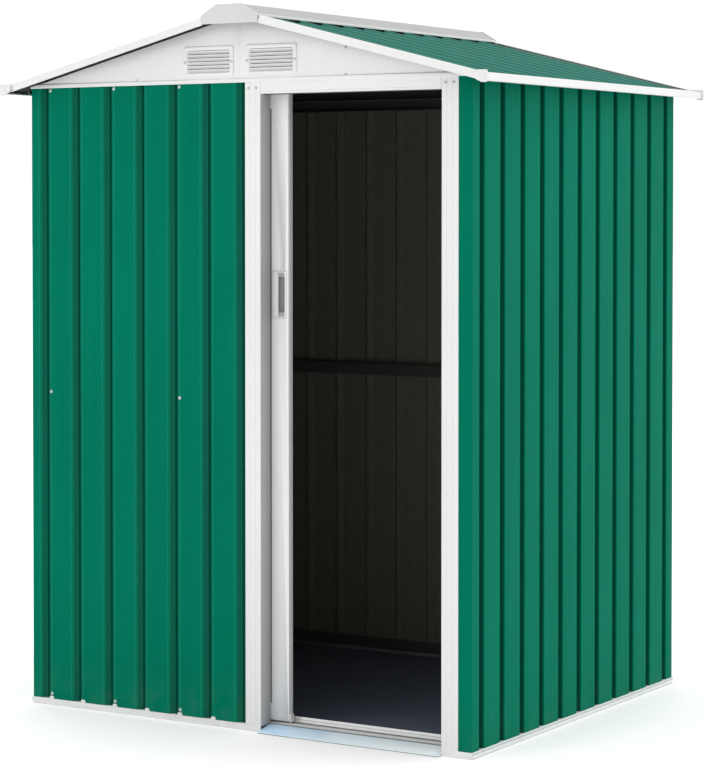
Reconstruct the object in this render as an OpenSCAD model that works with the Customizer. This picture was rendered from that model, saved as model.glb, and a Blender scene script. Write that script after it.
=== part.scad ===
// Sheet-metal garden storage shed with a single sliding door and a low gable roof.
// X runs to the right as seen from the front, Y runs to the back and Z up.
// The origin is the centre of the footprint, on the ground.

/* [Walls] */
// Outside width of the walls, left to right
wall_w = 1434; // [1200:1:2400]
// Outside depth of the walls, front to back
wall_d = 1227; // [900:1:2400]
// Height of the top edge of the front wall above the ground
wall_top = 1757; // [1450:1:2200]
// Height of the mid rails' top faces above the ground
mid_rail_z = 925; // [500:1:1300]

/* [Ribbed sheet] */
// Thickness of the wall, roof and door sheets
sheet_t = 1.2; // [0.6:0.1:2]
// Distance from one rib to the next
rib_pitch = 112; // [90:1:160]
// Width of a rib where it leaves the flat of the sheet
rib_open = 37; // [28:1:44]
// Width of the flat bottom of a rib
rib_floor = 14; // [8:1:20]
// Depth of a rib
rib_depth = 11; // [6:0.5:14]
// Flat left between a corner and its nearest rib centre, at least
rib_margin = 40; // [36:1:60]

/* [Base] */
// Height of the base rails
rail_h = 18; // [12:1:30]
// Width of the base rails on the ground
rail_w = 35; // [28:1:45]
// How far the base rails stand out from the walls
rail_proud = 3; // [1:0.5:5]
// Height of the rail's upstand inside the sheets
upstand_h = 30; // [15:1:50]
// Thickness of the floor panel
floor_t = 6; // [3:1:12]

/* [Doorway] */
// Clear width of the doorway
doorway_w = 560; // [420:1:600]
// Height of the beam over the doorway, up to the wall's top edge
head_h = 33; // [20:1:120]
// Width of the door jambs' front faces
jamb_w = 50; // [40:1:70]
// How far the jambs stand out from the front wall
jamb_proud = 2; // [1:0.5:4]
// Depth of the jambs behind the front wall
jamb_depth = 47.5; // [35:0.5:60]
// Width of the front wall's strip right of the doorway
strip_w = 40; // [25:1:60]
// How far the wall sheets run in behind the jambs
jamb_tuck = 23; // [10:1:30]
// How far the threshold ramp reaches out in front of the wall
ramp_reach = 20; // [10:1:35]

/* [Sliding door] */
// Width of the door
door_w = 600; // [500:1:640]
// Thickness of the door frame
door_t = 20; // [16:1:24]
// Width of the door's stiles
stile_w = 55; // [40:1:70]
// Height of the door's top and bottom rails
door_rail_h = 45; // [30:1:80]
// How far the open door still shows in the doorway, at rest
door_showing = 53; // [20:1:120]
// Gap between moving and fixed pieces
run_gap = 5; // [5:0.5:8]
// Gap between a roller and the track that it rides on
seat_gap = 0.3; // [0.1:0.1:0.5]
// Depth of the finger pocket in the door's front stile
pocket_depth = 9; // [6:1:14]
// Height of the handle's centre above the ground
handle_z = 1183; // [900:1:1300]

/* [Roof] */
// Slope of the roof in degrees
roof_pitch = 14; // [8:0.5:24]
// Overhang of the roof at the sides, to the eave trims' faces
eave_overhang = 67; // [45:1:110]
// Overhang of the roof at the front and back, to the verge trims' faces
verge_overhang = 50.5; // [35:0.5:90]
// Height of the gables' blunt ends
gable_heel = 3; // [2:0.5:8]
// Play between the sloping sheets and the frame under them or the covers over them
slope_seat = 0.1; // [0:0.05:0.5]
// Half width of the ridge cap
cap_half = 90; // [70:1:130]
// Half width of the ridge cap's flat top
cap_flat = 42; // [20:1:60]
// Height of the ridge cap's flat top above the rib tops at the ridge
cap_rise = 11.5; // [8:0.5:30]

/* [Gable vents] */
// Distance of each vent's centre from the middle of the gable
vent_x = 102; // [90:1:200]
// Width of a vent
vent_w = 166; // [100:1:170]
// Height of a vent
vent_h = 83; // [60:1:90]
// Number of slots in a vent
vent_slots = 6; // [3:1:8]

/* [Hidden] */
$fn = 48;

green = "#007d5f";
roof_green = "#3c8f7a";
white = "#eaeaea";
zinc = "#a9bccb";
plastic = "#d8d8d8";
dark = "#24221f";

// Folded steel of the rails, trims and tracks
fold_t = 1.5;
// Heavier folds around the doorway and on the gables
trim_t = 2;

half_w = wall_w / 2;
half_d = wall_d / 2;
// Depth of a ribbed sheet from its outer face to the inside of its ribs
sheet_depth = rib_depth + sheet_t;
// Shallow crease on each side of a rib
crease_w = 6;
crease_depth = 1.2;
crease_gap = 2.5;
rib_reach = rib_open / 2 + crease_gap + crease_w;

// How far a cutting block reaches past the piece that it cuts
cut = 1;

// Doorway
doorway_top = wall_top - head_h;
jamb_right = half_w - strip_w;
door_x1 = jamb_right - jamb_w;
door_x0 = door_x1 - doorway_w;
jamb_left = door_x0 - jamb_w;
jamb_back = -half_d + jamb_depth;
handle_t = 3;
track_h = 20;
door_front = jamb_back + run_gap + handle_t;
door_back = door_front + door_t;
door_lead = door_x0 + door_showing;
door_trail = door_lead - door_w;
door_lift = 7;
door_head_gap = 6;
door_z0 = rail_h + door_lift;
door_z1 = wall_top - track_h - door_head_gap;

// Frame behind the sheets
angle_leg = 35;
angle_shelf = 20;
mid_rail_leg = 40;
track_x = half_w - sheet_depth - fold_t;
track_t = 5;
track_y = (door_front + door_back) / 2;

// Roof: heights of its layers above the middle of the shed
roof_cos = cos(roof_pitch);
roof_under_0 = wall_top + gable_heel + half_w * tan(roof_pitch);
seat_0 = roof_under_0 - slope_seat;
pan_top_0 = roof_under_0 + sheet_t / roof_cos;
rib_top_0 = pan_top_0 + rib_depth / roof_cos;
cover_0 = rib_top_0 + slope_seat;
eave_x = half_w + eave_overhang;
verge_y = half_d + verge_overhang;
trim_up = rib_depth + 3;
trim_down = 10;
eave_cover = 27;
cap_plate_t = 3;
corner_cap_t = 8;

function roof_z(z0, x) = z0 - abs(x) * tan(roof_pitch);

// Rib centres over a length: as many as fit at the pitch, centred
function rib_count(len) = floor((len - 2 * rib_margin) / rib_pitch) + 1;
function ribs(len) = let (n = rib_count(len)) [for (i = [0:n - 1]) (i - (n - 1) / 2) * rib_pitch];

// One crease, as three points across the sheet
function crease(mid, side) = [
    [mid - crease_w / 2, 0],
    [mid, side * crease_depth],
    [mid + crease_w / 2, 0]
];

// One rib with its two creases; side is 1 for a rib pressed inwards and -1 outwards
function rib(mid, side) =
    let (off = rib_open / 2 + crease_gap + crease_w / 2)
    concat(
        crease(mid - off, side),
        [
            [mid - rib_open / 2, 0],
            [mid - rib_floor / 2, side * rib_depth],
            [mid + rib_floor / 2, side * rib_depth],
            [mid + rib_open / 2, 0]
        ],
        crease(mid + off, side)
    );

// Line of a ribbed sheet from a to b, with the ribs that fit whole between them
function sheet_line(a, b, centres, side) = concat(
    [[a, 0]],
    [for (c = centres) if (c - rib_reach > a && c + rib_reach < b) each rib(c, side)],
    [[b, 0]]
);

function moved(line, dy) = [for (p = line) [p[0], p[1] + dy]];
function backwards(line) = [for (i = [len(line) - 1:-1:0]) line[i]];

// Flat drawing of a ribbed sheet, its outer face on the X axis and its inside at +Y
module sheet_section(a, b, centres, side = 1) {
    line = sheet_line(a, b, centres, side);
    polygon(concat(line, backwards(moved(line, sheet_t))));
}

// Upright ribbed sheet facing -Y at the origin, pressed inwards
module ribbed_sheet(a, b, centres, h) {
    linear_extrude(h) sheet_section(a, b, centres);
}

module back_side() {
    mirror([0, 1, 0]) children();
}

module left_side() {
    mirror([1, 0, 0]) children();
}

module both_sides() {
    children();
    left_side() children();
}

// Turns a drawing in X and Z into a bar along Y, from y0 to y1
module along_y(y0, y1) {
    translate([0, y1, 0]) rotate([90, 0, 0]) linear_extrude(y1 - y0) children();
}

// Turns a drawing in Y and Z into a bar along X, from x0 to x1
module along_x(x0, x1) {
    translate([x0, 0, 0]) rotate([90, 0, 90]) linear_extrude(x1 - x0) children();
}

// Turns a drawing across the right roof slope into a bar down the slope.
// The drawing's X is the shed's Y, its Y is square to the roof, and s runs from the ridge.
module down_slope(s0, s1) {
    translate([0, 0, pan_top_0]) rotate([0, roof_pitch, 0]) along_x(s0, s1) children();
}

// Base rails: channel on the ground with an upstand inside the sheets
module rail_section() {
    up = rail_proud + sheet_depth;
    polygon([
        [0, 0], [rail_w, 0], [rail_w, fold_t], [fold_t, fold_t], [fold_t, rail_h - fold_t],
        [rail_w, rail_h - fold_t], [rail_w, rail_h], [up + fold_t, rail_h],
        [up + fold_t, rail_h + upstand_h], [up, rail_h + upstand_h], [up, rail_h], [0, rail_h]
    ]);
}

// A rail along the front, mitred at both corners of a shed of half width hw and half depth hd
module mitred_rail(hw, hd) {
    outer_w = hw + rail_proud;
    outer_d = hd + rail_proud;
    intersection() {
        along_x(-outer_w, outer_w) translate([-outer_d, 0]) rail_section();
        linear_extrude(rail_h + upstand_h) polygon([
            [-outer_w, -outer_d], [outer_w, -outer_d],
            [outer_w - rail_w, -outer_d + rail_w], [-outer_w + rail_w, -outer_d + rail_w]
        ]);
    }
}

module front_base_rail() {
    color(white) difference() {
        mitred_rail(half_w, half_d);
        translate([door_x0, -half_d - rail_w, -cut])
            cube([doorway_w, 3 * rail_w, rail_h + 2 * cut]);
        translate([door_x0 - trim_t, -half_d - rail_w, rail_h])
            cube([doorway_w + 2 * trim_t, 3 * rail_w, upstand_h + cut]);
    }
}

module back_base_rail() {
    color(white) back_side() mitred_rail(half_w, half_d);
}

module right_base_rail() {
    color(white) rotate([0, 0, 90]) mitred_rail(half_d, half_w);
}

module left_base_rail() {
    color(white) rotate([0, 0, -90]) mitred_rail(half_d, half_w);
}

// Room floor between the rails, behind the door's lower track
floor_x = half_w + rail_proud - rail_w;
floor_y1 = half_d + rail_proud - rail_w;
track_lap = 4;
track_behind = 15;
lower_track_front = jamb_back - track_lap;
lower_track_back = door_back + track_behind;
lower_track_lip = 16;

module floor_panel() {
    color(dark) translate([-floor_x, lower_track_back, 0])
        cube([2 * floor_x, floor_y1 - lower_track_back, floor_t]);
}

module threshold_ramp() {
    nose = -half_d - ramp_reach;
    nose_h = 3;
    sole = 4.5;
    skin = 2.5;
    leg = lower_track_front - trim_t;
    color(zinc) along_x(door_x0, door_x1) polygon([
        [nose, 0], [nose + sole, 0], [leg, rail_h - skin], [leg, 0],
        [lower_track_front, 0], [lower_track_front, rail_h], [leg, rail_h], [nose, nose_h]
    ]);
}

module lower_door_track() {
    f = lower_track_front;
    b = lower_track_back;
    color(white) along_x(-floor_x, floor_x) polygon([
        [f, 0], [f + fold_t, 0], [f + fold_t, rail_h - fold_t], [b - fold_t, rail_h - fold_t],
        [b - fold_t, 0], [b, 0], [b, rail_h + lower_track_lip],
        [b - fold_t, rail_h + lower_track_lip], [b - fold_t, rail_h], [f, rail_h]
    ]);
}

// Flat bar that the door's rollers ride on
module upper_door_track() {
    color(zinc) translate([-track_x, track_y - track_t / 2, wall_top - track_h])
        cube([2 * track_x, track_t, track_h]);
}

module door_head_beam() {
    color(white) along_x(door_x0, door_x1) polygon([
        [-half_d - jamb_proud, doorway_top], [-half_d + sheet_depth, doorway_top],
        [-half_d + sheet_depth, doorway_top + trim_t],
        [-half_d, doorway_top + trim_t],
        [-half_d, wall_top], [-half_d - jamb_proud, wall_top]
    ]);
}

// Left jamb in plan: front face, return into the doorway and a lip behind it
module jamb_section() {
    lip = 14;
    polygon([
        [jamb_left, -half_d - jamb_proud], [door_x0, -half_d - jamb_proud], [door_x0, jamb_back],
        [door_x0 - lip, jamb_back], [door_x0 - lip, jamb_back - trim_t],
        [door_x0 - trim_t, jamb_back - trim_t], [door_x0 - trim_t, -half_d], [jamb_left, -half_d]
    ]);
}

// The return is notched at the top for the front top rail
module left_door_jamb() {
    color(white) difference() {
        translate([0, 0, rail_h]) linear_extrude(wall_top - rail_h) jamb_section();
        translate([jamb_left, -half_d + sheet_depth, top_leg_z])
            cube([jamb_w + cut, jamb_depth, angle_leg + cut]);
    }
}

module right_door_jamb() {
    color(white) translate([door_x0 + door_x1, 0, 0]) left_side() left_door_jamb();
}

// Walls
module front_wall_left() {
    color(green) translate([0, -half_d, rail_h])
        ribbed_sheet(-half_w, jamb_left + jamb_tuck, ribs(wall_w), wall_top - rail_h);
}

module front_wall_right() {
    color(green) translate([jamb_right - jamb_tuck, -half_d, rail_h])
        cube([strip_w + jamb_tuck, sheet_t, wall_top - rail_h]);
}

module back_wall() {
    color(green) back_side() translate([0, -half_d, rail_h])
        ribbed_sheet(-half_w, half_w, ribs(wall_w), wall_top - rail_h);
}

module side_wall() {
    end = half_d - sheet_t;
    translate([half_w, 0, rail_h]) rotate([0, 0, 90])
        ribbed_sheet(-end, end, ribs(wall_d), roof_z(seat_0, half_w) - rail_h);
}

module right_wall() {
    color(green) side_wall();
}

module left_wall() {
    color(green) left_side() side_wall();
}

// Angles behind the sheets: an upright leg against the ribs and a shelf inwards
module angle_section(leg, shelf_at) {
    polygon([
        [0, 0], [fold_t, 0], [fold_t, shelf_at], [angle_shelf, shelf_at],
        [angle_shelf, shelf_at + fold_t], [fold_t, shelf_at + fold_t], [fold_t, leg], [0, leg]
    ]);
}

module front_angle(x0, x1, z0, leg, shelf_at) {
    along_x(x0, x1) translate([-half_d + sheet_depth, z0]) angle_section(leg, shelf_at);
}

// Side angles run between the shelves of the front and back ones
module side_angle(z0, leg, shelf_at) {
    end = half_d - sheet_depth - angle_shelf;
    along_y(-end, end) translate([half_w - sheet_depth, z0]) mirror([1, 0])
        angle_section(leg, shelf_at);
}

inner_x = half_w - sheet_depth;
top_leg_z = wall_top - angle_leg;
mid_leg_z = mid_rail_z - mid_rail_leg;
mid_shelf_at = mid_rail_leg - 2 * fold_t;
top_shelf_at = fold_t;

module front_top_rail() {
    color(white) front_angle(-inner_x, inner_x, top_leg_z, angle_leg, top_shelf_at);
}

module back_top_rail() {
    color(white) back_side() front_angle(-inner_x, inner_x, top_leg_z, angle_leg, top_shelf_at);
}

module side_top_rails() {
    color(white) both_sides() side_angle(top_leg_z, angle_leg, top_shelf_at);
}

module front_mid_rail() {
    end = door_x0 - jamb_w / 2;
    color(white) front_angle(-inner_x, end, mid_leg_z, mid_rail_leg, mid_shelf_at);
}

module back_mid_rail() {
    color(white) back_side()
        front_angle(-inner_x, inner_x, mid_leg_z, mid_rail_leg, mid_shelf_at);
}

module side_mid_rails() {
    color(white) both_sides() side_angle(mid_leg_z, mid_rail_leg, mid_shelf_at);
}

// Gables: plate in front of the wall's plane, with a foot flange on the wall's top edge
vent_rise = 59;
vent_z = wall_top + vent_rise;
vent_frame_x = 14.5;
vent_frame_z = 11.5;

module vent_hole() {
    translate([vent_x - vent_w / 2 + vent_frame_x, -half_d - trim_t - cut,
               vent_z - vent_h / 2 + vent_frame_z])
        cube([vent_w - 2 * vent_frame_x, trim_t + 2 * cut, vent_h - 2 * vent_frame_z]);
}

// Right half of the front gable
module half_gable() {
    foot_x = inner_x - fold_t;
    foot_y1 = -half_d + sheet_depth + fold_t;
    difference() {
        union() {
            along_y(-half_d - trim_t, -half_d) polygon([
                [0, wall_top], [half_w, wall_top], [half_w, roof_z(seat_0, half_w)],
                [0, seat_0]
            ]);
            translate([0, -half_d - trim_t, wall_top])
                cube([foot_x, foot_y1 + half_d + trim_t, fold_t]);
        }
        vent_hole();
    }
}

module front_gable_right() {
    color(white) half_gable();
}

module front_gable_left() {
    color(white) left_side() half_gable();
}

module back_gable() {
    color(white) back_side() both_sides() half_gable();
}

// Vent: frame plate on the gable with slots under tilted blades
module vent() {
    field_w = vent_w - 2 * vent_frame_x;
    field_h = vent_h - 2 * vent_frame_z;
    step = field_h / vent_slots;
    gap_share = 0.55;
    first_share = 0.2;
    drop_share = 0.8;
    gap_h = step * gap_share;
    drop = gap_h * drop_share;
    blade_out = 4;
    blade_t = 1.2;
    face = -half_d - 2 * trim_t;
    translate([vent_x, 0, vent_z]) {
        difference() {
            translate([-vent_w / 2, face, -vent_h / 2]) cube([vent_w, trim_t, vent_h]);
            for (i = [0:vent_slots - 1])
                translate([-field_w / 2, face - cut, -field_h / 2 + (i + first_share) * step])
                    cube([field_w, trim_t + 2 * cut, gap_h]);
        }
        for (i = [0:vent_slots - 1])
            translate([0, 0, -field_h / 2 + (i + first_share) * step + gap_h])
                along_x(-field_w / 2, field_w / 2) polygon([
                    [face, 0], [face, blade_t], [face - blade_out, blade_t - drop],
                    [face - blade_out, -drop]
                ]);
    }
}

module gable_vents() {
    color(white) {
        both_sides() vent();
        back_side() both_sides() vent();
    }
}

// Roof sheets: ribs pressed outwards, in line with the side walls' ribs
ridge_gap = 6;
sheet_end_gap = 6;

module roof_sheet() {
    edge = verge_y - fold_t;
    line = sheet_line(-edge, edge, ribs(wall_d), -1);
    down_slope(ridge_gap, (eave_x - sheet_end_gap) / roof_cos)
        mirror([0, 1]) polygon(concat(line, backwards(moved(line, sheet_t))));
}

module right_roof_sheet() {
    color(roof_green) roof_sheet();
}

module left_roof_sheet() {
    color(roof_green) left_side() roof_sheet();
}

// Ridge beam: folded channel under the sheets, open below
module ridge_beam() {
    half = 40;
    drop = 30;
    wall = 3;
    foot = roof_z(seat_0, half) - drop;
    color(white) along_y(-half_d, half_d) polygon([
        [-half, foot], [-half, roof_z(seat_0, half)], [0, seat_0],
        [half, roof_z(seat_0, half)], [half, foot], [half - wall, foot],
        [half - wall, roof_z(seat_0, half) - wall], [0, seat_0 - wall],
        [-half + wall, roof_z(seat_0, half) - wall], [-half + wall, foot]
    ]);
}

// Ridge cap: half outline from the rim up to the flat top
cap_rim = 6.5;
cap_rim_z = roof_z(cover_0, cap_half);
plate_lip = 2;
cap_top_z = rib_top_0 + cap_rise;

module ridge_cap() {
    outer = [[cap_half, cap_rim_z], [cap_half, cap_rim_z + cap_rim], [cap_flat, cap_top_z]];
    inner = [
        [cap_flat - fold_t / 2, cap_top_z - fold_t],
        [cap_half - fold_t, cap_rim_z + cap_rim - fold_t / 2],
        [cap_half - fold_t, roof_z(cover_0, cap_half - fold_t)]
    ];
    half = concat(outer, inner);
    mirrored = [for (p = half) [-p[0], p[1]]];
    color(white) along_y(-verge_y, verge_y) polygon(concat(
        [half[0], half[1], half[2]], [mirrored[2], mirrored[1], mirrored[0]],
        [mirrored[5], mirrored[4], mirrored[3]], [half[3], half[4], half[5]]
    ));
}

module ridge_end_plate() {
    hang = 5;
    edge = cap_half + plate_lip;
    foot = roof_z(pan_top_0, cap_half) - hang;
    side_z = cap_rim_z + cap_rim + plate_lip / 2;
    along_y(-verge_y - cap_plate_t, -verge_y) polygon([
        [-edge, foot], [-edge, side_z],
        [-cap_flat - plate_lip / 2, cap_top_z + plate_lip],
        [cap_flat + plate_lip / 2, cap_top_z + plate_lip],
        [edge, side_z], [edge, foot]
    ]);
}

module ridge_end_plates() {
    color(white) {
        ridge_end_plate();
        back_side() ridge_end_plate();
    }
}

// Verge trims: folded channel over the sheets' front and back edges
module verge_trim() {
    flange = 24;
    lip = 12;
    end_gap = 1;
    y = -verge_y;
    eave_start = eave_x - eave_cover - trim_up * sin(roof_pitch) - end_gap;
    ridge_end = cap_half + plate_lip;
    down_slope(ridge_end / roof_cos, eave_start / roof_cos) polygon([
        [y, -trim_down], [y + lip, -trim_down], [y + lip, fold_t - trim_down],
        [y + fold_t, fold_t - trim_down], [y + fold_t, trim_up - fold_t],
        [y + flange, trim_up - fold_t], [y + flange, trim_up], [y, trim_up]
    ]);
}

module front_verge_trims() {
    color(white) both_sides() verge_trim();
}

module back_verge_trims() {
    color(white) back_side() both_sides() verge_trim();
}

// Eave trims: folded channel over the ribs' ends
eave_hang = 3.5;
eave_foot_z = roof_z(roof_under_0, eave_x) - eave_hang;

module eave_trim() {
    lip = 14;
    over = fold_t / roof_cos;
    in_x = eave_x - fold_t;
    start_x = eave_x - eave_cover;
    along_y(-verge_y, verge_y) polygon([
        [eave_x - lip, eave_foot_z], [eave_x, eave_foot_z],
        [eave_x, roof_z(cover_0, eave_x) + over],
        [start_x, roof_z(cover_0, start_x) + over], [start_x, roof_z(cover_0, start_x)],
        [in_x, roof_z(cover_0, in_x)], [in_x, eave_foot_z + fold_t],
        [eave_x - lip, eave_foot_z + fold_t]
    ]);
}

module right_eave_trim() {
    color(white) eave_trim();
}

module left_eave_trim() {
    color(white) left_side() eave_trim();
}

// Corner caps: small blocks that close the ends of the eave and verge trims
module corner_cap() {
    proud = 6;
    reach = 36;
    heel = 12;
    over = 5;
    rise = 3;
    under = 4;
    x1 = eave_x + proud;
    top = roof_z(rib_top_0, eave_x - eave_cover) + over;
    foot = eave_foot_z - under;
    along_y(-verge_y - corner_cap_t, -verge_y) polygon([
        [eave_x - reach, foot + heel], [eave_x - heel, foot], [x1, foot], [x1, top],
        [eave_x - eave_cover, top], [eave_x - reach, top + rise]
    ]);
}

module eave_corner_caps() {
    color(plastic) {
        both_sides() corner_cap();
        back_side() both_sides() corner_cap();
    }
}

// Sliding door, behind the front wall
module door_front_stile() {
    color(white) difference() {
        translate([door_lead - stile_w, door_front, door_z0])
            cube([stile_w, door_t, door_z1 - door_z0]);
        finger_slot(door_front - cut, pocket_depth + cut);
    }
}

module door_rear_stile() {
    color(white) translate([door_trail, door_front, door_z0])
        cube([stile_w, door_t, door_z1 - door_z0]);
}

module door_cross_rail(z) {
    translate([door_trail + stile_w, door_front, z])
        cube([door_w - 2 * stile_w, door_t, door_rail_h]);
}

module door_top_rail() {
    color(white) door_cross_rail(door_z1 - door_rail_h);
}

module door_bottom_rail() {
    color(white) door_cross_rail(door_z0);
}

module door_panel() {
    span = door_w - 2 * stile_w;
    inset = (door_t - sheet_depth) / 2;
    color(green)
        translate([door_lead - door_w / 2, door_front + inset, door_z0 + door_rail_h])
            ribbed_sheet(-span / 2, span / 2, ribs(span),
                         door_z1 - door_z0 - 2 * door_rail_h);
}

// Recessed pull: a plate on the front stile over a finger pocket
handle_w = 46;
handle_h = 128;
handle_edge = 6;
slot_w = 20;
slot_h = 96;

module finger_slot(y, depth) {
    translate([door_lead - 2 * handle_edge - slot_w, y, handle_z - slot_h / 2])
        cube([slot_w, depth, slot_h]);
}

module door_handle() {
    color(plastic) difference() {
        translate([door_lead - handle_edge - handle_w, door_front - handle_t,
                   handle_z - handle_h / 2])
            cube([handle_w, handle_t, handle_h]);
        finger_slot(door_front - handle_t - cut, handle_t + 2 * cut);
    }
}

// Hangers on the back of the door, and the rollers on them that ride on the track
hanger_inset = 70;
hanger_w = 30;
hanger_t = 3;
roller_r = 10;
roller_z = wall_top + seat_gap + roller_r;

module at_hangers() {
    for (x = [door_lead - hanger_inset, door_trail + hanger_inset])
        translate([x, 0, 0]) children();
}

module door_hangers() {
    overlap = 40;
    head = 2;
    z0 = door_z1 - overlap;
    color(zinc) at_hangers() translate([-hanger_w / 2, door_back, z0])
        cube([hanger_w, hanger_t, roller_z + roller_r + head - z0]);
}

module door_rollers() {
    play = 1;
    reach = door_back - (track_y - track_t / 2) + play;
    color(plastic) at_hangers() translate([0, door_back, roller_z])
        rotate([90, 0, 0]) cylinder(r = roller_r, h = reach);
}

// Guides at the door's lower corners, over the lower track
module door_guides() {
    w = 5;
    h = 23;
    inset = 2;
    z = rail_h + run_gap;
    color(plastic) for (x = [door_lead, door_trail - w])
        translate([x, door_front + inset, z]) cube([w, door_t - 2 * inset, h]);
}

front_base_rail();
back_base_rail();
left_base_rail();
right_base_rail();
floor_panel();
threshold_ramp();
lower_door_track();
upper_door_track();
door_head_beam();
left_door_jamb();
right_door_jamb();
front_wall_left();
front_wall_right();
left_wall();
right_wall();
back_wall();
front_top_rail();
back_top_rail();
side_top_rails();
front_mid_rail();
back_mid_rail();
side_mid_rails();
front_gable_left();
front_gable_right();
back_gable();
gable_vents();
left_roof_sheet();
right_roof_sheet();
ridge_beam();
ridge_cap();
ridge_end_plates();
front_verge_trims();
back_verge_trims();
left_eave_trim();
right_eave_trim();
eave_corner_caps();
door_panel();
door_front_stile();
door_rear_stile();
door_top_rail();
door_bottom_rail();
door_handle();
door_hangers();
door_rollers();
door_guides();
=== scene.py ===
"""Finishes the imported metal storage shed.

Pressed sheets, folded trims, vents, a recessed pull, screws, paint, light and camera.
"""

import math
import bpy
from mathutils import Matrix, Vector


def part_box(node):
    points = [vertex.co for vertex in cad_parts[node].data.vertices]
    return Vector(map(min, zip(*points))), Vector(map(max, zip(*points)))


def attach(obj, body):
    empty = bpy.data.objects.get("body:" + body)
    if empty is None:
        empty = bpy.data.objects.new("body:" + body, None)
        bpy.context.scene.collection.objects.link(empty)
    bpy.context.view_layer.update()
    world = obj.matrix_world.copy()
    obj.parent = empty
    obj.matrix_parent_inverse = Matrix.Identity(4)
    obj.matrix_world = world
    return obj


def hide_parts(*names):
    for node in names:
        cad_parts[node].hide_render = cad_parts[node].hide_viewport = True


bl_info = {
    "name": "Sliding Door Shed",
    "version": (1, 0, 0),
    "blender": (4, 5, 0),
    "location": "3D View > Sidebar > Shed",
    "description": "Dresses a packed metal shed in sheets, trims, screws and paint",
    "category": "Object",
}

from functools import cache

import bmesh
import bpy
from bpy.props import (
    FloatProperty,
    FloatVectorProperty,
    IntProperty,
    PointerProperty,
)
from mathutils import Matrix, Vector

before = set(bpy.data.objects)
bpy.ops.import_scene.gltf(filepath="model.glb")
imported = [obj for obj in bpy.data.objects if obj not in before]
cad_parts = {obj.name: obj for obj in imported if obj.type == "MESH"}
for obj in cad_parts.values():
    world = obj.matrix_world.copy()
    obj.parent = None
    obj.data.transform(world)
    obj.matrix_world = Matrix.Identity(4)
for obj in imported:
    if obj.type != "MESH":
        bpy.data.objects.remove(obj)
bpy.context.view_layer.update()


# ---------------------------------------------------------------- sizes and colours


class ShedSheetSizes(bpy.types.PropertyGroup):
    """Sizes of the pressed wall, roof and door sheets."""

    pitch: FloatProperty(
        name="Rib Pitch",
        description="Distance from one rib to the next",
        default=0.112,
        unit="LENGTH",
    )
    margin: FloatProperty(
        name="Corner Margin",
        description="Flat left between a corner and its nearest rib centre, at least",
        default=0.040,
        unit="LENGTH",
    )
    rib_open: FloatProperty(
        name="Rib Width",
        description="Width of a rib where it leaves the flat of the sheet",
        default=0.0315,
        unit="LENGTH",
    )
    rib_floor: FloatProperty(
        name="Rib Floor",
        description="Width of the flat bottom of a rib",
        default=0.0105,
        unit="LENGTH",
    )
    rib_depth: FloatProperty(
        name="Rib Depth",
        description="Depth of a rib",
        default=0.011,
        unit="LENGTH",
    )
    bead_width: FloatProperty(
        name="Bead Width",
        description="Width of the shallow crease on each side of a rib",
        default=0.006,
        unit="LENGTH",
    )
    bead_depth: FloatProperty(
        name="Bead Depth",
        description="Depth of the crease on each side of a rib",
        default=0.0012,
        unit="LENGTH",
    )
    bead_gap: FloatProperty(
        name="Bead Gap",
        description="Flat between a rib and its crease",
        default=0.0025,
        unit="LENGTH",
    )
    thickness: FloatProperty(
        name="Thickness",
        description="Thickness of the sheets",
        default=0.0012,
        unit="LENGTH",
    )
    bend: FloatProperty(
        name="Bend Radius",
        description="Radius of the pressed bends",
        default=0.0022,
        unit="LENGTH",
    )


class ShedTrimSizes(bpy.types.PropertyGroup):
    """Sizes of the folded trims."""

    thickness: FloatProperty(
        name="Thickness",
        description="Thickness of the folded trims",
        default=0.0015,
        unit="LENGTH",
    )
    fold: FloatProperty(
        name="Fold Radius",
        description="Outer radius of the folds",
        default=0.0030,
        unit="LENGTH",
    )
    edge: FloatProperty(
        name="Edge Softness",
        description="Width of the softened edges of the rails and plates",
        default=0.0007,
        unit="LENGTH",
    )
    groove: FloatProperty(
        name="Jamb Groove",
        description="Depth of the two fine grooves down each door jamb",
        default=0.0009,
        unit="LENGTH",
    )


class ShedScrewSizes(bpy.types.PropertyGroup):
    """Sizes of the screws that hold the sheets."""

    head: FloatProperty(
        name="Head Diameter",
        description="Diameter of a screw's domed head",
        default=0.0066,
        unit="LENGTH",
    )
    washer: FloatProperty(
        name="Washer Diameter",
        description="Diameter of the washer under a head",
        default=0.0092,
        unit="LENGTH",
    )
    height: FloatProperty(
        name="Head Height",
        description="Height of a head and its washer over the sheet",
        default=0.0028,
        unit="LENGTH",
    )


class ShedVentSizes(bpy.types.PropertyGroup):
    """Sizes of the gable vents."""

    slats: IntProperty(
        name="Slats",
        description="Number of slats in a vent",
        default=6,
        min=1,
    )
    rise: FloatProperty(
        name="Plate Rise",
        description="How far a vent's pressed plate stands off the gable",
        default=0.0030,
        unit="LENGTH",
    )
    corner: FloatProperty(
        name="Corner Radius",
        description="Radius of a vent plate's corners",
        default=0.009,
        unit="LENGTH",
    )


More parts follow.
